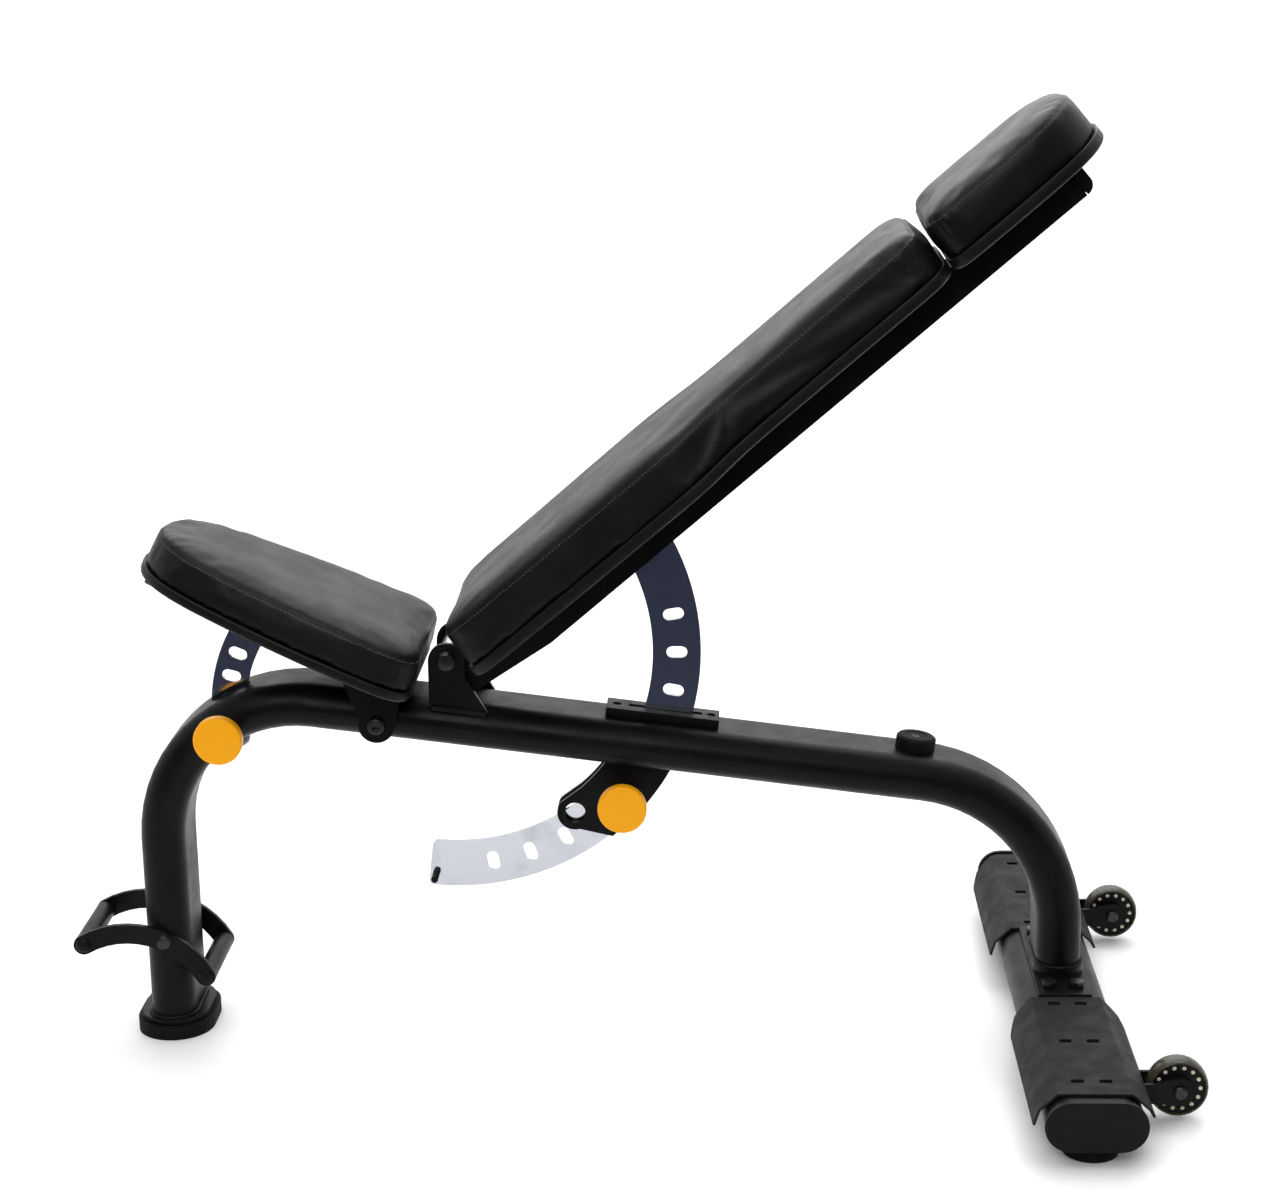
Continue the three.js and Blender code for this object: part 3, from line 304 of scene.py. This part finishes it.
def polished_plate():
    """Ground and polished steel: long fine scratches, a few stains and a mirror-like body."""
    shader = Shader("polished_plate", (0.56, 0.57, 0.6), 0.1, 1.0, Anisotropic=0.3)
    brushed = shader.noise(60.0, 6.0, 0.7, stretch=(30.0, 1.0, 2.0))
    stain = shader.spread(shader.noise(16.0, 6.0, 0.65), 0.5, 0.72)
    shader.color(shader.mix(stain, (0.5, 0.51, 0.55), (0.38, 0.4, 0.45)))
    smooth = shader.spread(brushed, 0.3, 0.7, 0.05, 0.13)
    shader.roughness(shader.math("ADD", smooth, shader.math("MULTIPLY", stain, 0.06)))
    shader.bump(brushed, 0.00002, 0.35)
    return shader.material


def zinc_plate():
    shader = Shader("zinc_plate", (0.45, 0.46, 0.48), 0.3, 1.0)
    shader.color(shader.mix(shader.noise(180.0, 5.0), (0.36, 0.37, 0.39), (0.55, 0.55, 0.56)))
    shader.roughness(shader.spread(shader.noise(300.0, 4.0), 0.3, 0.7, 0.24, 0.42))
    shader.bump(shader.noise(1500.0, 2.0), 0.00003, 0.5)
    return shader.material


def sintered_bronze():
    shader = Shader("sintered_bronze", (0.4, 0.25, 0.1), 0.4, 1.0)
    shader.color(shader.mix(shader.noise(400.0, 4.0), (0.3, 0.18, 0.07), (0.46, 0.3, 0.13)))
    shader.bump(shader.cells(2500.0), 0.00005, 0.5)
    return shader.material


def knob_plastic():
    """Smooth yellow-orange plastic, faintly mottled, with a fine moulded grain."""
    shader = Shader("knob_plastic", (1.0, 0.4, 0.004), 0.42, Specular_IOR_Level=0.22)
    shader.color(shader.mix(shader.noise(90.0, 5.0, 0.6), (0.96, 0.38, 0.002), (1.0, 0.44, 0.004)))
    shader.roughness(shader.spread(shader.noise(120.0, 5.0), 0.3, 0.7, 0.36, 0.5))
    shader.bump(shader.noise(1800.0, 2.0), 0.00004, 0.5)
    return shader.material


def clear_urethane():
    """Clear yellowish cast urethane, cloudy inside and scuffed on its tread; its dark colour is painted shade for
    its depth.
    """
    shader = Shader("clear_urethane", (0.05, 0.045, 0.03), 0.22, Transmission_Weight=0.25, IOR=1.4)
    # Painted shade: this dark mix stands in for the shade in the clear urethane's depth.
    shader.color(shader.mix(shader.noise(120.0, 5.0), (0.07, 0.062, 0.036), (0.03, 0.027, 0.016)))
    shader.roughness(shader.spread(shader.noise(200.0, 5.0), 0.3, 0.7, 0.18, 0.4))
    shader.bump(shader.noise(260.0, 2.0), 0.00003, 0.3)
    return shader.material


def painted_light_urethane():
    """The same urethane where it shows through the hub's windows, painted pale as the light that shines through
    them.
    """
    shader = Shader("painted_light_urethane", (0.85, 0.8, 0.6), 0.22, Transmission_Weight=0.2, IOR=1.5)
    # Painted light: this pale mix stands in for light shining through the hub's windows.
    shader.color(shader.mix(shader.noise(300.0, 3.0), (0.92, 0.88, 0.7), (0.78, 0.7, 0.48)))
    shader.roughness(shader.spread(shader.noise(400.0, 3.0), 0.3, 0.7, 0.15, 0.35))
    return shader.material


def vinyl():
    """Black upholstery vinyl: pebbled grain, soft creases and a slight satin sheen."""
    shader = Shader("vinyl", (0.006, 0.006, 0.0065), 0.4, Specular_IOR_Level=0.16)
    grain = shader.cells(1300.0, "SMOOTH_F1")
    worn = shader.spread(shader.noise(9.0, 5.0, 0.6), 0.4, 0.75)
    tone = shader.mix(worn, (0.0048, 0.0048, 0.0054), (0.0085, 0.0085, 0.009))
    shader.color(shader.mix(shader.spread(grain, 0.25, 0.75), tone, (0.0032, 0.0032, 0.0036)))
    rub = shader.spread(shader.noise(22.0, 6.0, 0.6), 0.3, 0.7, 0.36, 0.46)
    shader.roughness(shader.math("ADD", rub, shader.math("MULTIPLY", grain, 0.1)))
    shader.bump(grain, 0.00022, 0.35)
    shader.bump(shader.noise(60.0, 4.0, 0.55), 0.0006, 0.25)
    return shader.material


def stained_board():
    """Black stained plywood, with faint long fibres."""
    shader = Shader("board", (0.01, 0.009, 0.008), 0.85, Specular_IOR_Level=0.2)
    fibres = shader.noise(700.0, 6.0, 0.75, stretch=(1.0, 2.5, 1.0))
    shader.color(shader.mix(fibres, (0.008, 0.008, 0.008), (0.022, 0.022, 0.022)))
    shader.bump(fibres, 0.0003, 0.6)
    return shader.material


def stitch_thread():
    shader = Shader("stitch_thread", (0.04, 0.04, 0.043), 0.55)
    shader.color(shader.mix(shader.noise(2500.0, 3.0), (0.028, 0.028, 0.031), (0.06, 0.06, 0.065)))
    shader.bump(shader.noise(4000.0, 2.0), 0.0001, 0.6)
    return shader.material


def black_oxide():
    """Blackened socket screws, slightly rubbed bright."""
    shader = Shader("black_oxide", (0.03, 0.03, 0.031), 0.35, 0.9)
    shader.color(shader.mix(shader.noise(500.0, 4.0), (0.014, 0.014, 0.015), (0.06, 0.06, 0.062)))
    shader.bump(shader.noise(1600.0, 2.0), 0.00003, 0.5)
    return shader.material


MATERIALS = {
    "black_powder_coat": powder_coat(),
    "charcoal_tread_coat": tread_coat(),
    "black_rubber": moulded_rubber(),
    "black_plastic": moulded_nylon(),
    "clear_urethane": clear_urethane(),
    "black_oxide_steel": black_oxide(),
    "zinc_steel": zinc_plate(),
    "polished_steel": polished_plate(),
    "bronze": sintered_bronze(),
    "orange_plastic": knob_plastic(),
    "black_vinyl": vinyl(),
    "pad_board": stained_board(),
}
THREAD = stitch_thread()
PAINTED_WINDOW_LIGHT = painted_light_urethane()
SLOT_OF = {part["node"]: part["material_slot"] for part in frame["record"]["subparts"]}


# ---------------------------------------------------------------- CAD nodes
def finish_node(name, edge=0.8 * MM):
    """Gives a CAD node its material, smooth round faces and small bevelled edges."""
    node = NODES[name]
    mesh = node.data
    mesh.materials.clear()
    mesh.materials.append(MATERIALS[SLOT_OF[name]])
    for attribute in ("custom_normal", "sharp_edge", "sharp_face"):
        if attribute in mesh.attributes:
            mesh.attributes.remove(mesh.attributes[attribute])
    for polygon in mesh.polygons:
        polygon.use_smooth = True
    weld = node.modifiers.new("weld", "WELD")
    weld.merge_threshold = 0.02 * MM
    bevel = node.modifiers.new("edges", "BEVEL")
    bevel.width = edge
    bevel.segments = 2
    bevel.limit_method = "ANGLE"
    bevel.angle_limit = math.radians(32)
    bevel.use_clamp_overlap = True
    bevel.harden_normals = True
    normals = node.modifiers.new("normals", "WEIGHTED_NORMAL")
    normals.keep_sharp = False


def finish_nodes():
    fine = {"base_bolt", "back_pin", "seat_pin", "arc_stop", "wheel_hub", "hinge_bush", "wheel_axle"}
    for name in NODES:
        is_fine = any(name.startswith(start) for start in fine)
        finish_node(name, 0.3 * MM if is_fine else 0.7 * MM)


# ---------------------------------------------------------------- upholstery
class Board:
    """A tilted part's own frame: u along it, y across, w square to its face."""

    def __init__(self, joint, tilt, body):
        u_axis = Vector((math.cos(tilt), 0, math.sin(tilt)))
        w_axis = Vector((-math.sin(tilt), 0, math.cos(tilt)))
        place = Matrix((u_axis, Vector((0, 1, 0)), w_axis)).transposed().to_4x4()
        self.to_frame = Matrix.Translation(JOINTS[joint]["pos_m"]) @ place
        self.to_local = self.to_frame.inverted()
        self.body = body

    def outline_of(self, node):
        """The plan outline of a CAD pad, as (u, y) points in order round it, and its w range."""
        points = [self.to_local @ v.co for v in NODES[node].data.vertices]
        low = min(p.z for p in points)
        high = max(p.z for p in points)
        ring = {(round(p.x, 5), round(p.y, 5)) for p in points if p.z < low + 0.2 * MM}
        middle = np.mean(list(ring), axis=0)
        ordered = sorted(ring, key=lambda p: math.atan2(p[1] - middle[1], p[0] - middle[0]))
        return even_loop([Vector((u, y)) for u, y in ordered], 4 * MM), low, high


def even_loop(points, spacing):
    """A closed loop resampled to even spacing and lightly rounded."""
    closed = np.array([*points, points[0]], float)
    lengths = np.linalg.norm(np.diff(closed, axis=0), axis=1)
    along = np.concatenate([[0], np.cumsum(lengths)])
    count = int(round(along[-1] / spacing))
    stations = np.linspace(0, along[-1], count, endpoint=False)
    loop = np.column_stack([np.interp(stations, along, closed[:, i]) for i in range(closed.shape[1])])
    for _ in range(3):
        loop = (np.roll(loop, 1, 0) + 2 * loop + np.roll(loop, -1, 0)) / 4
    return loop


def outward_normals(loop):
    """Unit normals that point out of an anticlockwise loop."""
    ahead = np.roll(loop, -1, 0) - np.roll(loop, 1, 0)
    ahead /= np.linalg.norm(ahead, axis=1)[:, None]
    return np.column_stack([ahead[:, 1], -ahead[:, 0]])


def inward(loop, distance):
    """The loop moved inwards by a distance."""
    return loop - outward_normals(loop) * distance


def new_object(name, bm, material):
    """A smooth-shaded piece made from a bmesh, with its faces turned outwards."""
    bmesh.ops.recalc_face_normals(bm, faces=bm.faces)
    mesh = bpy.data.meshes.new(name)
    bm.to_mesh(mesh)
    bm.free()
    mesh.materials.append(material)
    for polygon in mesh.polygons:
        polygon.use_smooth = True
    piece = bpy.data.objects.new(name, mesh)
    bpy.context.collection.objects.link(piece)
    return piece


def join_rows(bm, rows, closed=False):
    """Faces between rows of vertices; open rows get a cap at both ends."""
    pairs = list(zip(rows, rows[1:]))
    if closed:
        pairs.append((rows[-1], rows[0]))
    count = len(rows[0])
    for below, above in pairs:
        for i in range(count):
            j = (i + 1) % count
            bm.faces.new((below[i], below[j], above[j], above[i]))
    if not closed:
        bm.faces.new(rows[0])
        bm.faces.new(rows[-1])


def ring_of(bm, centre, side, up, radius, sides):
    """Vertices of a circle round a centre, in the plane of two unit vectors."""
    angles = [2 * math.pi * k / sides for k in range(sides)]
    return [bm.verts.new(centre + radius * (math.cos(a) * side + math.sin(a) * up)) for a in angles]


def stack(name, rings, material, board):
    """A closed body through rings of (loop, w), capped at both ends."""
    bm = bmesh.new()
    rows = [[bm.verts.new(board.to_frame @ Vector((*p, w))) for p in loop] for loop, w in rings]
    join_rows(bm, rows)
    return new_object(name, bm, material)


def apply_modifiers(piece):
    graph = bpy.context.evaluated_depsgraph_get()
    mesh = bpy.data.meshes.new_from_object(piece.evaluated_get(graph))
    piece.modifiers.clear()
    piece.data = mesh
    return piece


def remesh(piece, voxel):
    modifier = piece.modifiers.new("remesh", "REMESH")
    modifier.mode = "VOXEL"
    modifier.voxel_size = voxel
    modifier.use_smooth_shade = True
    return apply_modifiers(piece)


def inflate(piece, board, base, cap, pressure):
    """Swells a pad as stuffed cloth over its board; vertices near the base stay where they are."""
    held, last_frame = 10 * MM, 20
    local = [board.to_local @ v.co for v in piece.data.vertices]
    group = piece.vertex_groups.new(name="stapled")
    for index, point in enumerate(local):
        hold = min(1.0, max(0.0, 1 - (point.z - base) / held))
        group.add([index], hold, "REPLACE")
    cloth = piece.modifiers.new("cloth", "CLOTH")
    settings = cloth.settings
    settings.quality = 6
    settings.mass = 0.3
    settings.tension_stiffness = 25
    settings.compression_stiffness = 12
    settings.shear_stiffness = 10
    settings.bending_stiffness = 2.5
    settings.use_pressure = True
    settings.uniform_pressure_force = pressure
    settings.vertex_group_mass = "stapled"
    settings.effector_weights.gravity = 0
    cloth.collision_settings.use_collision = False
    cloth.point_cache.frame_start, cloth.point_cache.frame_end = 1, last_frame
    rest = np.array([v.co for v in piece.data.vertices])
    for number in range(1, last_frame + 1):
        bpy.context.scene.frame_set(number)
    apply_modifiers(piece)
    bpy.context.scene.frame_set(1)
    moved = np.array([v.co for v in piece.data.vertices]) - rest
    length = np.linalg.norm(moved, axis=1)[:, None]
    limit = cap * np.tanh(length / cap) / np.maximum(length, 1e-9)
    piece.data.vertices.foreach_set("co", (rest + moved * limit).ravel())
    piece.vertex_groups.clear()
    piece.data.update()


def smooth_out(piece, rounds):
    modifier = piece.modifiers.new("relax", "SMOOTH")
    modifier.factor = 0.5
    modifier.iterations = rounds
    return apply_modifiers(piece)


def on_surface(piece, board, loop, w, lift=0.0):
    """Points of a loop at height w, dropped sideways on to the pad, with the surface's normals."""
    tree = BVHTree.FromObject(piece, bpy.context.evaluated_depsgraph_get())
    found = []
    for p in loop:
        place, normal, _, _ = tree.find_nearest(board.to_frame @ Vector((*p, w)))
        found.append((place + normal * lift, normal))
    return found


def attach(piece, body):
    """Makes a piece ride on a body."""
    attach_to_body(piece, body)


def stitch_row(name, path, material):
    """Separate thread stitches along surface points, each a small bent capsule sunk at its ends."""
    length, radius, sides, spans = 3.4 * MM, 0.42 * MM, 5, 4
    bm = bmesh.new()
    for i, (place, normal) in enumerate(path):
        ahead = (path[(i + 1) % len(path)][0] - path[i - 1][0]).normalized()
        side = ahead.cross(normal).normalized()
        rows = []
        for k in range(spans + 1):
            arch = math.sin(math.pi * k / spans)
            centre = place + ahead * length * (k / spans - 0.5) + normal * (arch - 0.6) * radius
            rows.append(ring_of(bm, centre, normal, side, radius * (0.55 + 0.45 * arch), sides))
        join_rows(bm, rows)
    return new_object(name, bm, material)


def groove(piece, path, width, depth):
    """Presses a seam's valley into the pad along surface points."""
    centres = np.array([p for p, _ in path])
    co = np.array([v.co for v in piece.data.vertices])
    normals = np.array([v.normal for v in piece.data.vertices])
    nearest = np.full(len(co), 1e9)
    batch = 40
    for start in range(0, len(centres), batch):
        block = centres[start : start + batch]
        gap = np.linalg.norm(co[:, None, :] - block[None, :, :], axis=2).min(1)
        nearest = np.minimum(nearest, gap)
    press = depth * np.exp(-((nearest / width) ** 2))
    piece.data.vertices.foreach_set("co", (co - normals * press[:, None]).ravel())
    piece.data.update()


def crown(piece, board, loop, base, height):
    """Raises the middle of a pad's face, easing off towards its outline."""
    shoulder, depth = 55 * MM, 20 * MM
    co = np.array([v.co for v in piece.data.vertices])
    to_local = np.array(board.to_local)
    local = co @ to_local[:3, :3].T + to_local[:3, 3]
    reach = np.linalg.norm(local[:, None, :2] - np.array(loop)[None, :, :], axis=2).min(1)
    share = np.clip(reach / shoulder, 0, 1)
    share = share * share * (3 - 2 * share) * np.clip((local[:, 2] - base) / depth, 0, 1)
    rise = np.array(board.to_frame.to_3x3() @ Vector((0, 0, 1)))
    piece.data.vertices.foreach_set("co", (co + height * share[:, None] * rise).ravel())
    piece.data.update()


def pleats(piece, board, loop, corners, top, drop):
    """Short gathered folds that run down a pad's side at its tight corners."""
    width, depth, points = 1.7 * MM, 0.9 * MM, 12
    for u, y in corners:
        nearest = int(np.argmin(np.linalg.norm(np.array(loop) - (u, y), axis=1)))
        for offset in (-4, -1, 2, 5):
            corner = loop[(nearest + offset) % len(loop)]
            heights = np.linspace(top, top - drop * (0.6 + 0.1 * (offset % 3)), points)
            path = [on_surface(piece, board, [corner], w)[0] for w in heights]
            groove(piece, path, width, depth)


def cushion(name, node, board, edge, corners):
    """One upholstered pad: simulated cushion, crown seam with its top stitching, and pleats."""
    loop, low, high = board.outline_of(node)
    wall, swell, rise, mesh_size = 2.2 * MM, 3.0 * MM, 3.0 * MM, 4.6 * MM
    seam_share, stitch_drop, pleat_drop, stitch_pitch = 0.35, 4.2 * MM, 26 * MM, 4.6 * MM
    side = inward(loop, wall)
    top = high - swell - rise
    rings = [(side, low), (side, low + 4 * MM)]
    for i in range(0, 7):
        angle = math.radians(15 * i)
        step = inward(side, edge * (1 - math.cos(angle)))
        rings.append((step, top - edge + edge * math.sin(angle)))
    piece = stack(name, rings, MATERIALS["black_vinyl"], board)
    remesh(piece, mesh_size)
    crown(piece, board, loop, low, rise)
    inflate(piece, board, low, swell, 4.0)
    smooth_out(piece, 5)
    seam_height = top - seam_share * edge
    seam = on_surface(piece, board, inward(loop, wall), seam_height)
    subdivide = piece.modifiers.new("fine", "SUBSURF")
    subdivide.levels = subdivide.render_levels = 1
    apply_modifiers(piece)
    groove(piece, seam, 2.0 * MM, 1.1 * MM)
    pleats(piece, board, inward(loop, wall), corners, seam_height - 2 * MM, pleat_drop)
    for polygon in piece.data.polygons:
        polygon.use_smooth = True
    piece.data.materials.clear()
    piece.data.materials.append(MATERIALS["black_vinyl"])
    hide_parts(node)
    attach(piece, board.body)
    around = even_loop(inward(loop, wall), stitch_pitch)
    path = on_surface(piece, board, around, seam_height - stitch_drop, 0.05 * MM)
    attach(stitch_row(f"{name}_stitches", path, THREAD), board.body)


def wrapped_board(name, node, pad_node, board):
    """The board under a pad: a vinyl-wrapped rim, slightly proud, round a bare stapled underside."""
    loop, _, _ = board.outline_of(pad_node)
    _, low, high = board.outline_of(node)
    radius, proud, lip, margin = 4 * MM, 0.9 * MM, 1.6 * MM, 24 * MM
    outer = inward(loop, -proud)
    rings = [(inward(loop, margin + 2 * MM), low + 1.4 * MM), (inward(loop, margin), low)]
    for i in range(0, 7):
        angle = math.radians(15 * i)
        step = inward(outer, radius * (1 - math.sin(angle)))
        rings.append((step, low + radius * (1 - math.cos(angle))))
    for i in range(0, 4):
        angle = math.radians(30 * i)
        step = inward(outer, lip * (1 - math.cos(angle)))
        rings.append((step, high + lip * math.sin(angle)))
    rings.append((inward(outer, 5 * MM), high + 0.4 * MM))
    piece = stack(name, rings, MATERIALS["black_vinyl"], board)
    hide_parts(node)
    attach(piece, board.body)
    panel_edge = inward(loop, margin + 1.2 * MM)
    panel_rings = [
        (inward(panel_edge, 1.0 * MM), low + 0.5 * MM),
        (panel_edge, low + 0.9 * MM),
        (panel_edge, low + 3 * MM),
    ]
    panel = stack(f"{name}_panel", panel_rings, MATERIALS["pad_board"], board)
    attach(panel, board.body)
    staples(f"{name}_staples", board, inward(loop, margin - 6 * MM), low)


def staples(name, board, loop, low):
    """Wire staples round the underside of a board, each a thin bent bar across the wrap's edge."""
    bm = bmesh.new()
    half, wire = 5 * MM, 0.55 * MM
    places = even_loop(loop, 26 * MM)
    ahead = outward_normals(places)[:, ::-1] * (-1, 1)
    for place, along in zip(places, ahead):
        across = np.array([along[1], -along[0]])
        rows = []
        for reach, height in ((-half, 1 * MM), (-half, -wire), (half, -wire), (half, 1 * MM)):
            row = []
            for side, lift in ((-1, -0.6), (1, -0.6), (1, 0.6), (-1, 0.6)):
                point = place + along * reach + across * side * wire
                row.append(bm.verts.new(board.to_frame @ Vector((*point, low + height + lift * wire))))
            rows.append(row)
        join_rows(bm, rows)
    attach(new_object(name, bm, MATERIALS["zinc_steel"]), board.body)


def upholster(back, seat):
    """The three cushions, gathered at the corners that are given as (u, y), and their boards."""
    edge = 10 * MM
    cushion("back_cushion", "back_pad", back, edge, [(0.66, 0.09), (0.66, -0.09)])
    cushion("head_cushion", "head_pad", back, edge, [(0.70, 0.09), (0.70, -0.09)])
    cushion("seat_cushion", "seat_pad", seat, edge, [(0.006, 0.1), (0.006, -0.1)])
    wrapped_board("back_board_cover", "back_board", "back_pad", back)
    wrapped_board("head_board_cover", "head_board", "head_pad", back)
    wrapped_board("seat_board_cover", "seat_board", "seat_pad", seat)


# ---------------------------------------------------------------- screws and welds
# How far the main tube falls for each unit of its run towards the wheels, and half its section.
BEAM_SLOPE = 0.128
BEAM_UPRIGHT = Vector((BEAM_SLOPE, 0, 1)).normalized()
TUBE_HALF_WIDTH = 50 * MM
TUBE_HALF_DEPTH = 25 * MM


def hexagon_reach(angle):
    """How far a hexagon of unit corner radius reaches at an angle, as a share of that radius."""
    sector = math.pi / 6
    return math.cos(sector) / math.cos((angle + sector) % (2 * sector) - sector)


def add_screw(bm, place, axis, radius, height, socket):
    """A button-head socket screw whose head stands on `place` and points along `axis`."""
    side = axis.orthogonal().normalized()
    other = axis.cross(side)
    sides, rim = 24, 1.25 * socket
    rows = [
        ring_of(bm, place - axis * 0.6 * MM, side, other, radius, sides),
        ring_of(bm, place + axis * 0.25 * height, side, other, radius, sides),
    ]
    for degrees in (25, 50, 72):
        angle = math.radians(degrees)
        lift = height * (0.25 + 0.75 * math.sin(angle))
        reach = rim + (radius - rim) * math.cos(angle)
        rows.append(ring_of(bm, place + axis * lift, side, other, reach, sides))
    rows.append(ring_of(bm, place + axis * height, side, other, 1.12 * socket, sides))
    for lift in (0.98 * height, 0.35 * height):
        row = ring_of(bm, place + axis * lift, side, other, socket, sides)
        for k, vertex in enumerate(row):
            centre = place + axis * lift
            vertex.co = centre + (vertex.co - centre) * hexagon_reach(2 * math.pi * k / sides)
        rows.append(row)
    join_rows(bm, rows)


def screws(name, body, axis, groups):
    """Button-head screws as one piece: groups of (places, radius, height, socket)."""
    bm = bmesh.new()
    for places, radius, height, socket in groups:
        for place in places:
            add_screw(bm, place, axis, radius, height, socket)
    piece = new_object(name, bm, MATERIALS["black_oxide_steel"])
    for polygon in piece.data.polygons:
        polygon.use_smooth = len(polygon.vertices) == 4
    attach(piece, body)


def weld_bead(name, points, radius, closed=False):
    """A rippled fillet weld on the frame, laid along points and painted over."""
    pitch, sides, taper = 2.6 * MM, 8, 0.35
    pairs = list(zip(points, points[1:] + points[:1]))
    dense = []
    for start, end in pairs if closed else pairs[:-1]:
        count = max(2, int((end - start).length / (pitch / 4)))
        dense += [start.lerp(end, k / count) for k in range(count)]
    if not closed:
        dense.append(points[-1])
    bm = bmesh.new()
    rows, travelled = [], 0.0
    last = len(dense) - 1
    for i, place in enumerate(dense):
        before = dense[i - 1] if closed or i > 0 else place
        after = dense[(i + 1) % len(dense)] if closed or i < last else place
        side = (after - before).cross(Vector((0, 0, 1))).normalized()
        up = side.cross(after - before).normalized()
        travelled += (place - before).length
        thick = radius * (0.86 + 0.14 * abs(math.sin(math.pi * travelled / pitch)))
        if not closed and i in (0, last):
            thick *= taper
        rows.append(ring_of(bm, place, side, up, thick, sides))
    join_rows(bm, rows, closed)
    attach(new_object(name, bm, MATERIALS["black_powder_coat"]), "root")


def leg_loop(x, z):
    """A level loop just outside the flat-oval section of an upright leg."""
    clear, count = 1 * MM, 48
    straight = TUBE_HALF_WIDTH - TUBE_HALF_DEPTH
    radius = TUBE_HALF_DEPTH + clear
    loop = []
    for k in range(count):
        angle = 2 * math.pi * k / count
        across = round(math.sin(angle), 9)
        y = straight * np.sign(across) + radius * across
        loop.append(Vector((x + radius * math.cos(angle), y, z)))
    return loop


def corners_of(node):
    """A CAD node's lowest and highest corners."""
    lowest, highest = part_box(node)
    return Vector(lowest), Vector(highest)


def frame_welds():
    """The beads round both legs' feet and along the outer faces of the hinge ears and latch plates."""
    for name, node, lift, radius in (
        ("weld_front_foot", "front_foot_plate", 1 * MM, 2.8 * MM),
        ("weld_rear_leg", "rear_leg_base", 0.5 * MM, 2.6 * MM),
    ):
        lowest, highest = corners_of(node)
        weld_bead(name, leg_loop((lowest.x + highest.x) / 2, highest.z + lift), radius, closed=True)
    inset, drop = 2 * MM, 1 * MM
    latch_start, latch_lead, latch_run = -16 * MM, 4 * MM, 72 * MM
    for side, sign in (("near", -1), ("far", 1)):
        lowest, highest = corners_of(f"hinge_ear_{side}")
        face = lowest.y if sign < 0 else highest.y
        rise = BEAM_SLOPE * (highest.x - lowest.x)
        start = Vector((lowest.x + inset, face, lowest.z + rise - drop))
        end = Vector((highest.x - inset, face, lowest.z - drop))
        weld_bead(f"weld_ear_{side}", [start, end], 3.6 * MM)
        lowest, highest = corners_of(f"latch_plate_{side}")
        face = lowest.y if sign < 0 else highest.y
        start = Vector((latch_start, face, highest.z - BEAM_SLOPE * latch_lead))
        end = start + Vector((latch_run, 0, -BEAM_SLOPE * latch_run))
        weld_bead(f"weld_latch_{side}", [start, end], 2.4 * MM)


def pad_screws(back, seat):
    """The screws under the backrest's beam and the seat's rail, and the plate under the seat's nose."""
    down = back.to_frame.to_3x3() @ Vector((0, 0, -1))
    stations = (0.36, 0.50, 0.63, 0.72, 0.80)
    places = [back.to_frame @ Vector((u, y, BACK_BEAM_LOW)) for u in stations for y in (-0.018, 0.018)]
    screws("back_pad_screws", "backrest", down, [(places, 7.5 * MM, 1.0 * MM, 2.6 * MM)])

    down = seat.to_frame.to_3x3() @ Vector((0, 0, -1))
    spots = ((-0.032, -0.036), (-0.032, 0.036), (-0.22, -0.012), (-0.22, 0.012))
    rail = [seat.to_frame @ Vector((u, y, SEAT_RAIL_LOW)) for u, y in spots]
    low, high, flare = 46.4 * MM, 51.2 * MM, 0.6 * MM
    nose = [seat.to_frame @ Vector((-0.278, y, low)) for y in (-0.03, 0.03)]
    screws(
        "seat_pad_screws",
        "seat",
        down,
        [(rail, 7 * MM, 3.4 * MM, 2.5 * MM), (nose, 6.5 * MM, 4 * MM, 2.4 * MM)],
    )
    outline = [(-0.272, 0.050), (-0.290, 0.045), (-0.294, 0.0), (-0.290, -0.045)]
    outline += [(-0.272, -0.050), (-0.262, -0.045), (-0.262, 0.045)]
    loop = even_loop([Vector(point) for point in outline], 2 * MM)
    rings = [(inward(loop, -flare), low), (loop, low + flare), (loop, high)]
    plate = stack("seat_nose_plate", rings, MATERIALS["black_powder_coat"], seat)
    attach(plate, seat.body)


def beam_screws():
    """The screws down into the guide block and the bumper on the main tube."""
    lowest, highest = corners_of("guide_block")
    sink = 4.4 * MM
    places = [Vector((x, 0, highest.z - BEAM_SLOPE * (x - lowest.x) - sink)) for x in (-0.006, 0.098)]
    screws("guide_block_screws", "root", BEAM_UPRIGHT, [(places, 4.6 * MM, 2.4 * MM, 2.0 * MM)])
    lowest, highest = corners_of("beam_bumper")
    top = Vector((0.324, 0, (lowest.z + highest.z) / 2)) + BEAM_UPRIGHT * 3.6 * MM
    screws("bumper_screw", "root", BEAM_UPRIGHT, [([top], 5.6 * MM, 3.4 * MM, 2.2 * MM)])


def wheel_windows():
    """Urethane that fills each hub's ring of windows, from face to face, painted pale as light shining through."""
    ring, radius, half, count, sides = 22.8 * MM, 2.3 * MM, 7.9 * MM, 14, 10
    across, up, along = Vector((1, 0, 0)), Vector((0, 0, 1)), Vector((0, 1, 0))
    stages = ((-half - 0.6 * MM, 0.55), (-half, 1.0), (half, 1.0), (half + 0.6 * MM, 0.55))
    for side in ("near", "far"):
        lowest, highest = corners_of(f"wheel_hub_{side}")
        hub = (lowest + highest) / 2
        bm = bmesh.new()
        for i in range(count):
            angle = 2 * math.pi * i / count
            centre = hub + ring * (math.cos(angle) * across + math.sin(angle) * up)
            rows = [ring_of(bm, centre + along * y, across, up, radius * k, sides) for y, k in stages]
            join_rows(bm, rows)
        # The windows' pale colour is painted light, not the urethane's own colour.
        attach(new_object(f"wheel_windows_{side}", bm, PAINTED_WINDOW_LIGHT), f"wheel_{side}")


make_camera()
make_stage()
make_flags()
make_lights()
finish_nodes()
BACK = Board("backrest_tilt", BACKREST_TILT, "backrest")
SEAT = Board("seat_tilt", -SEAT_TILT, "seat")
upholster(BACK, SEAT)
frame_welds()
pad_screws(BACK, SEAT)
beam_screws()
wheel_windows()
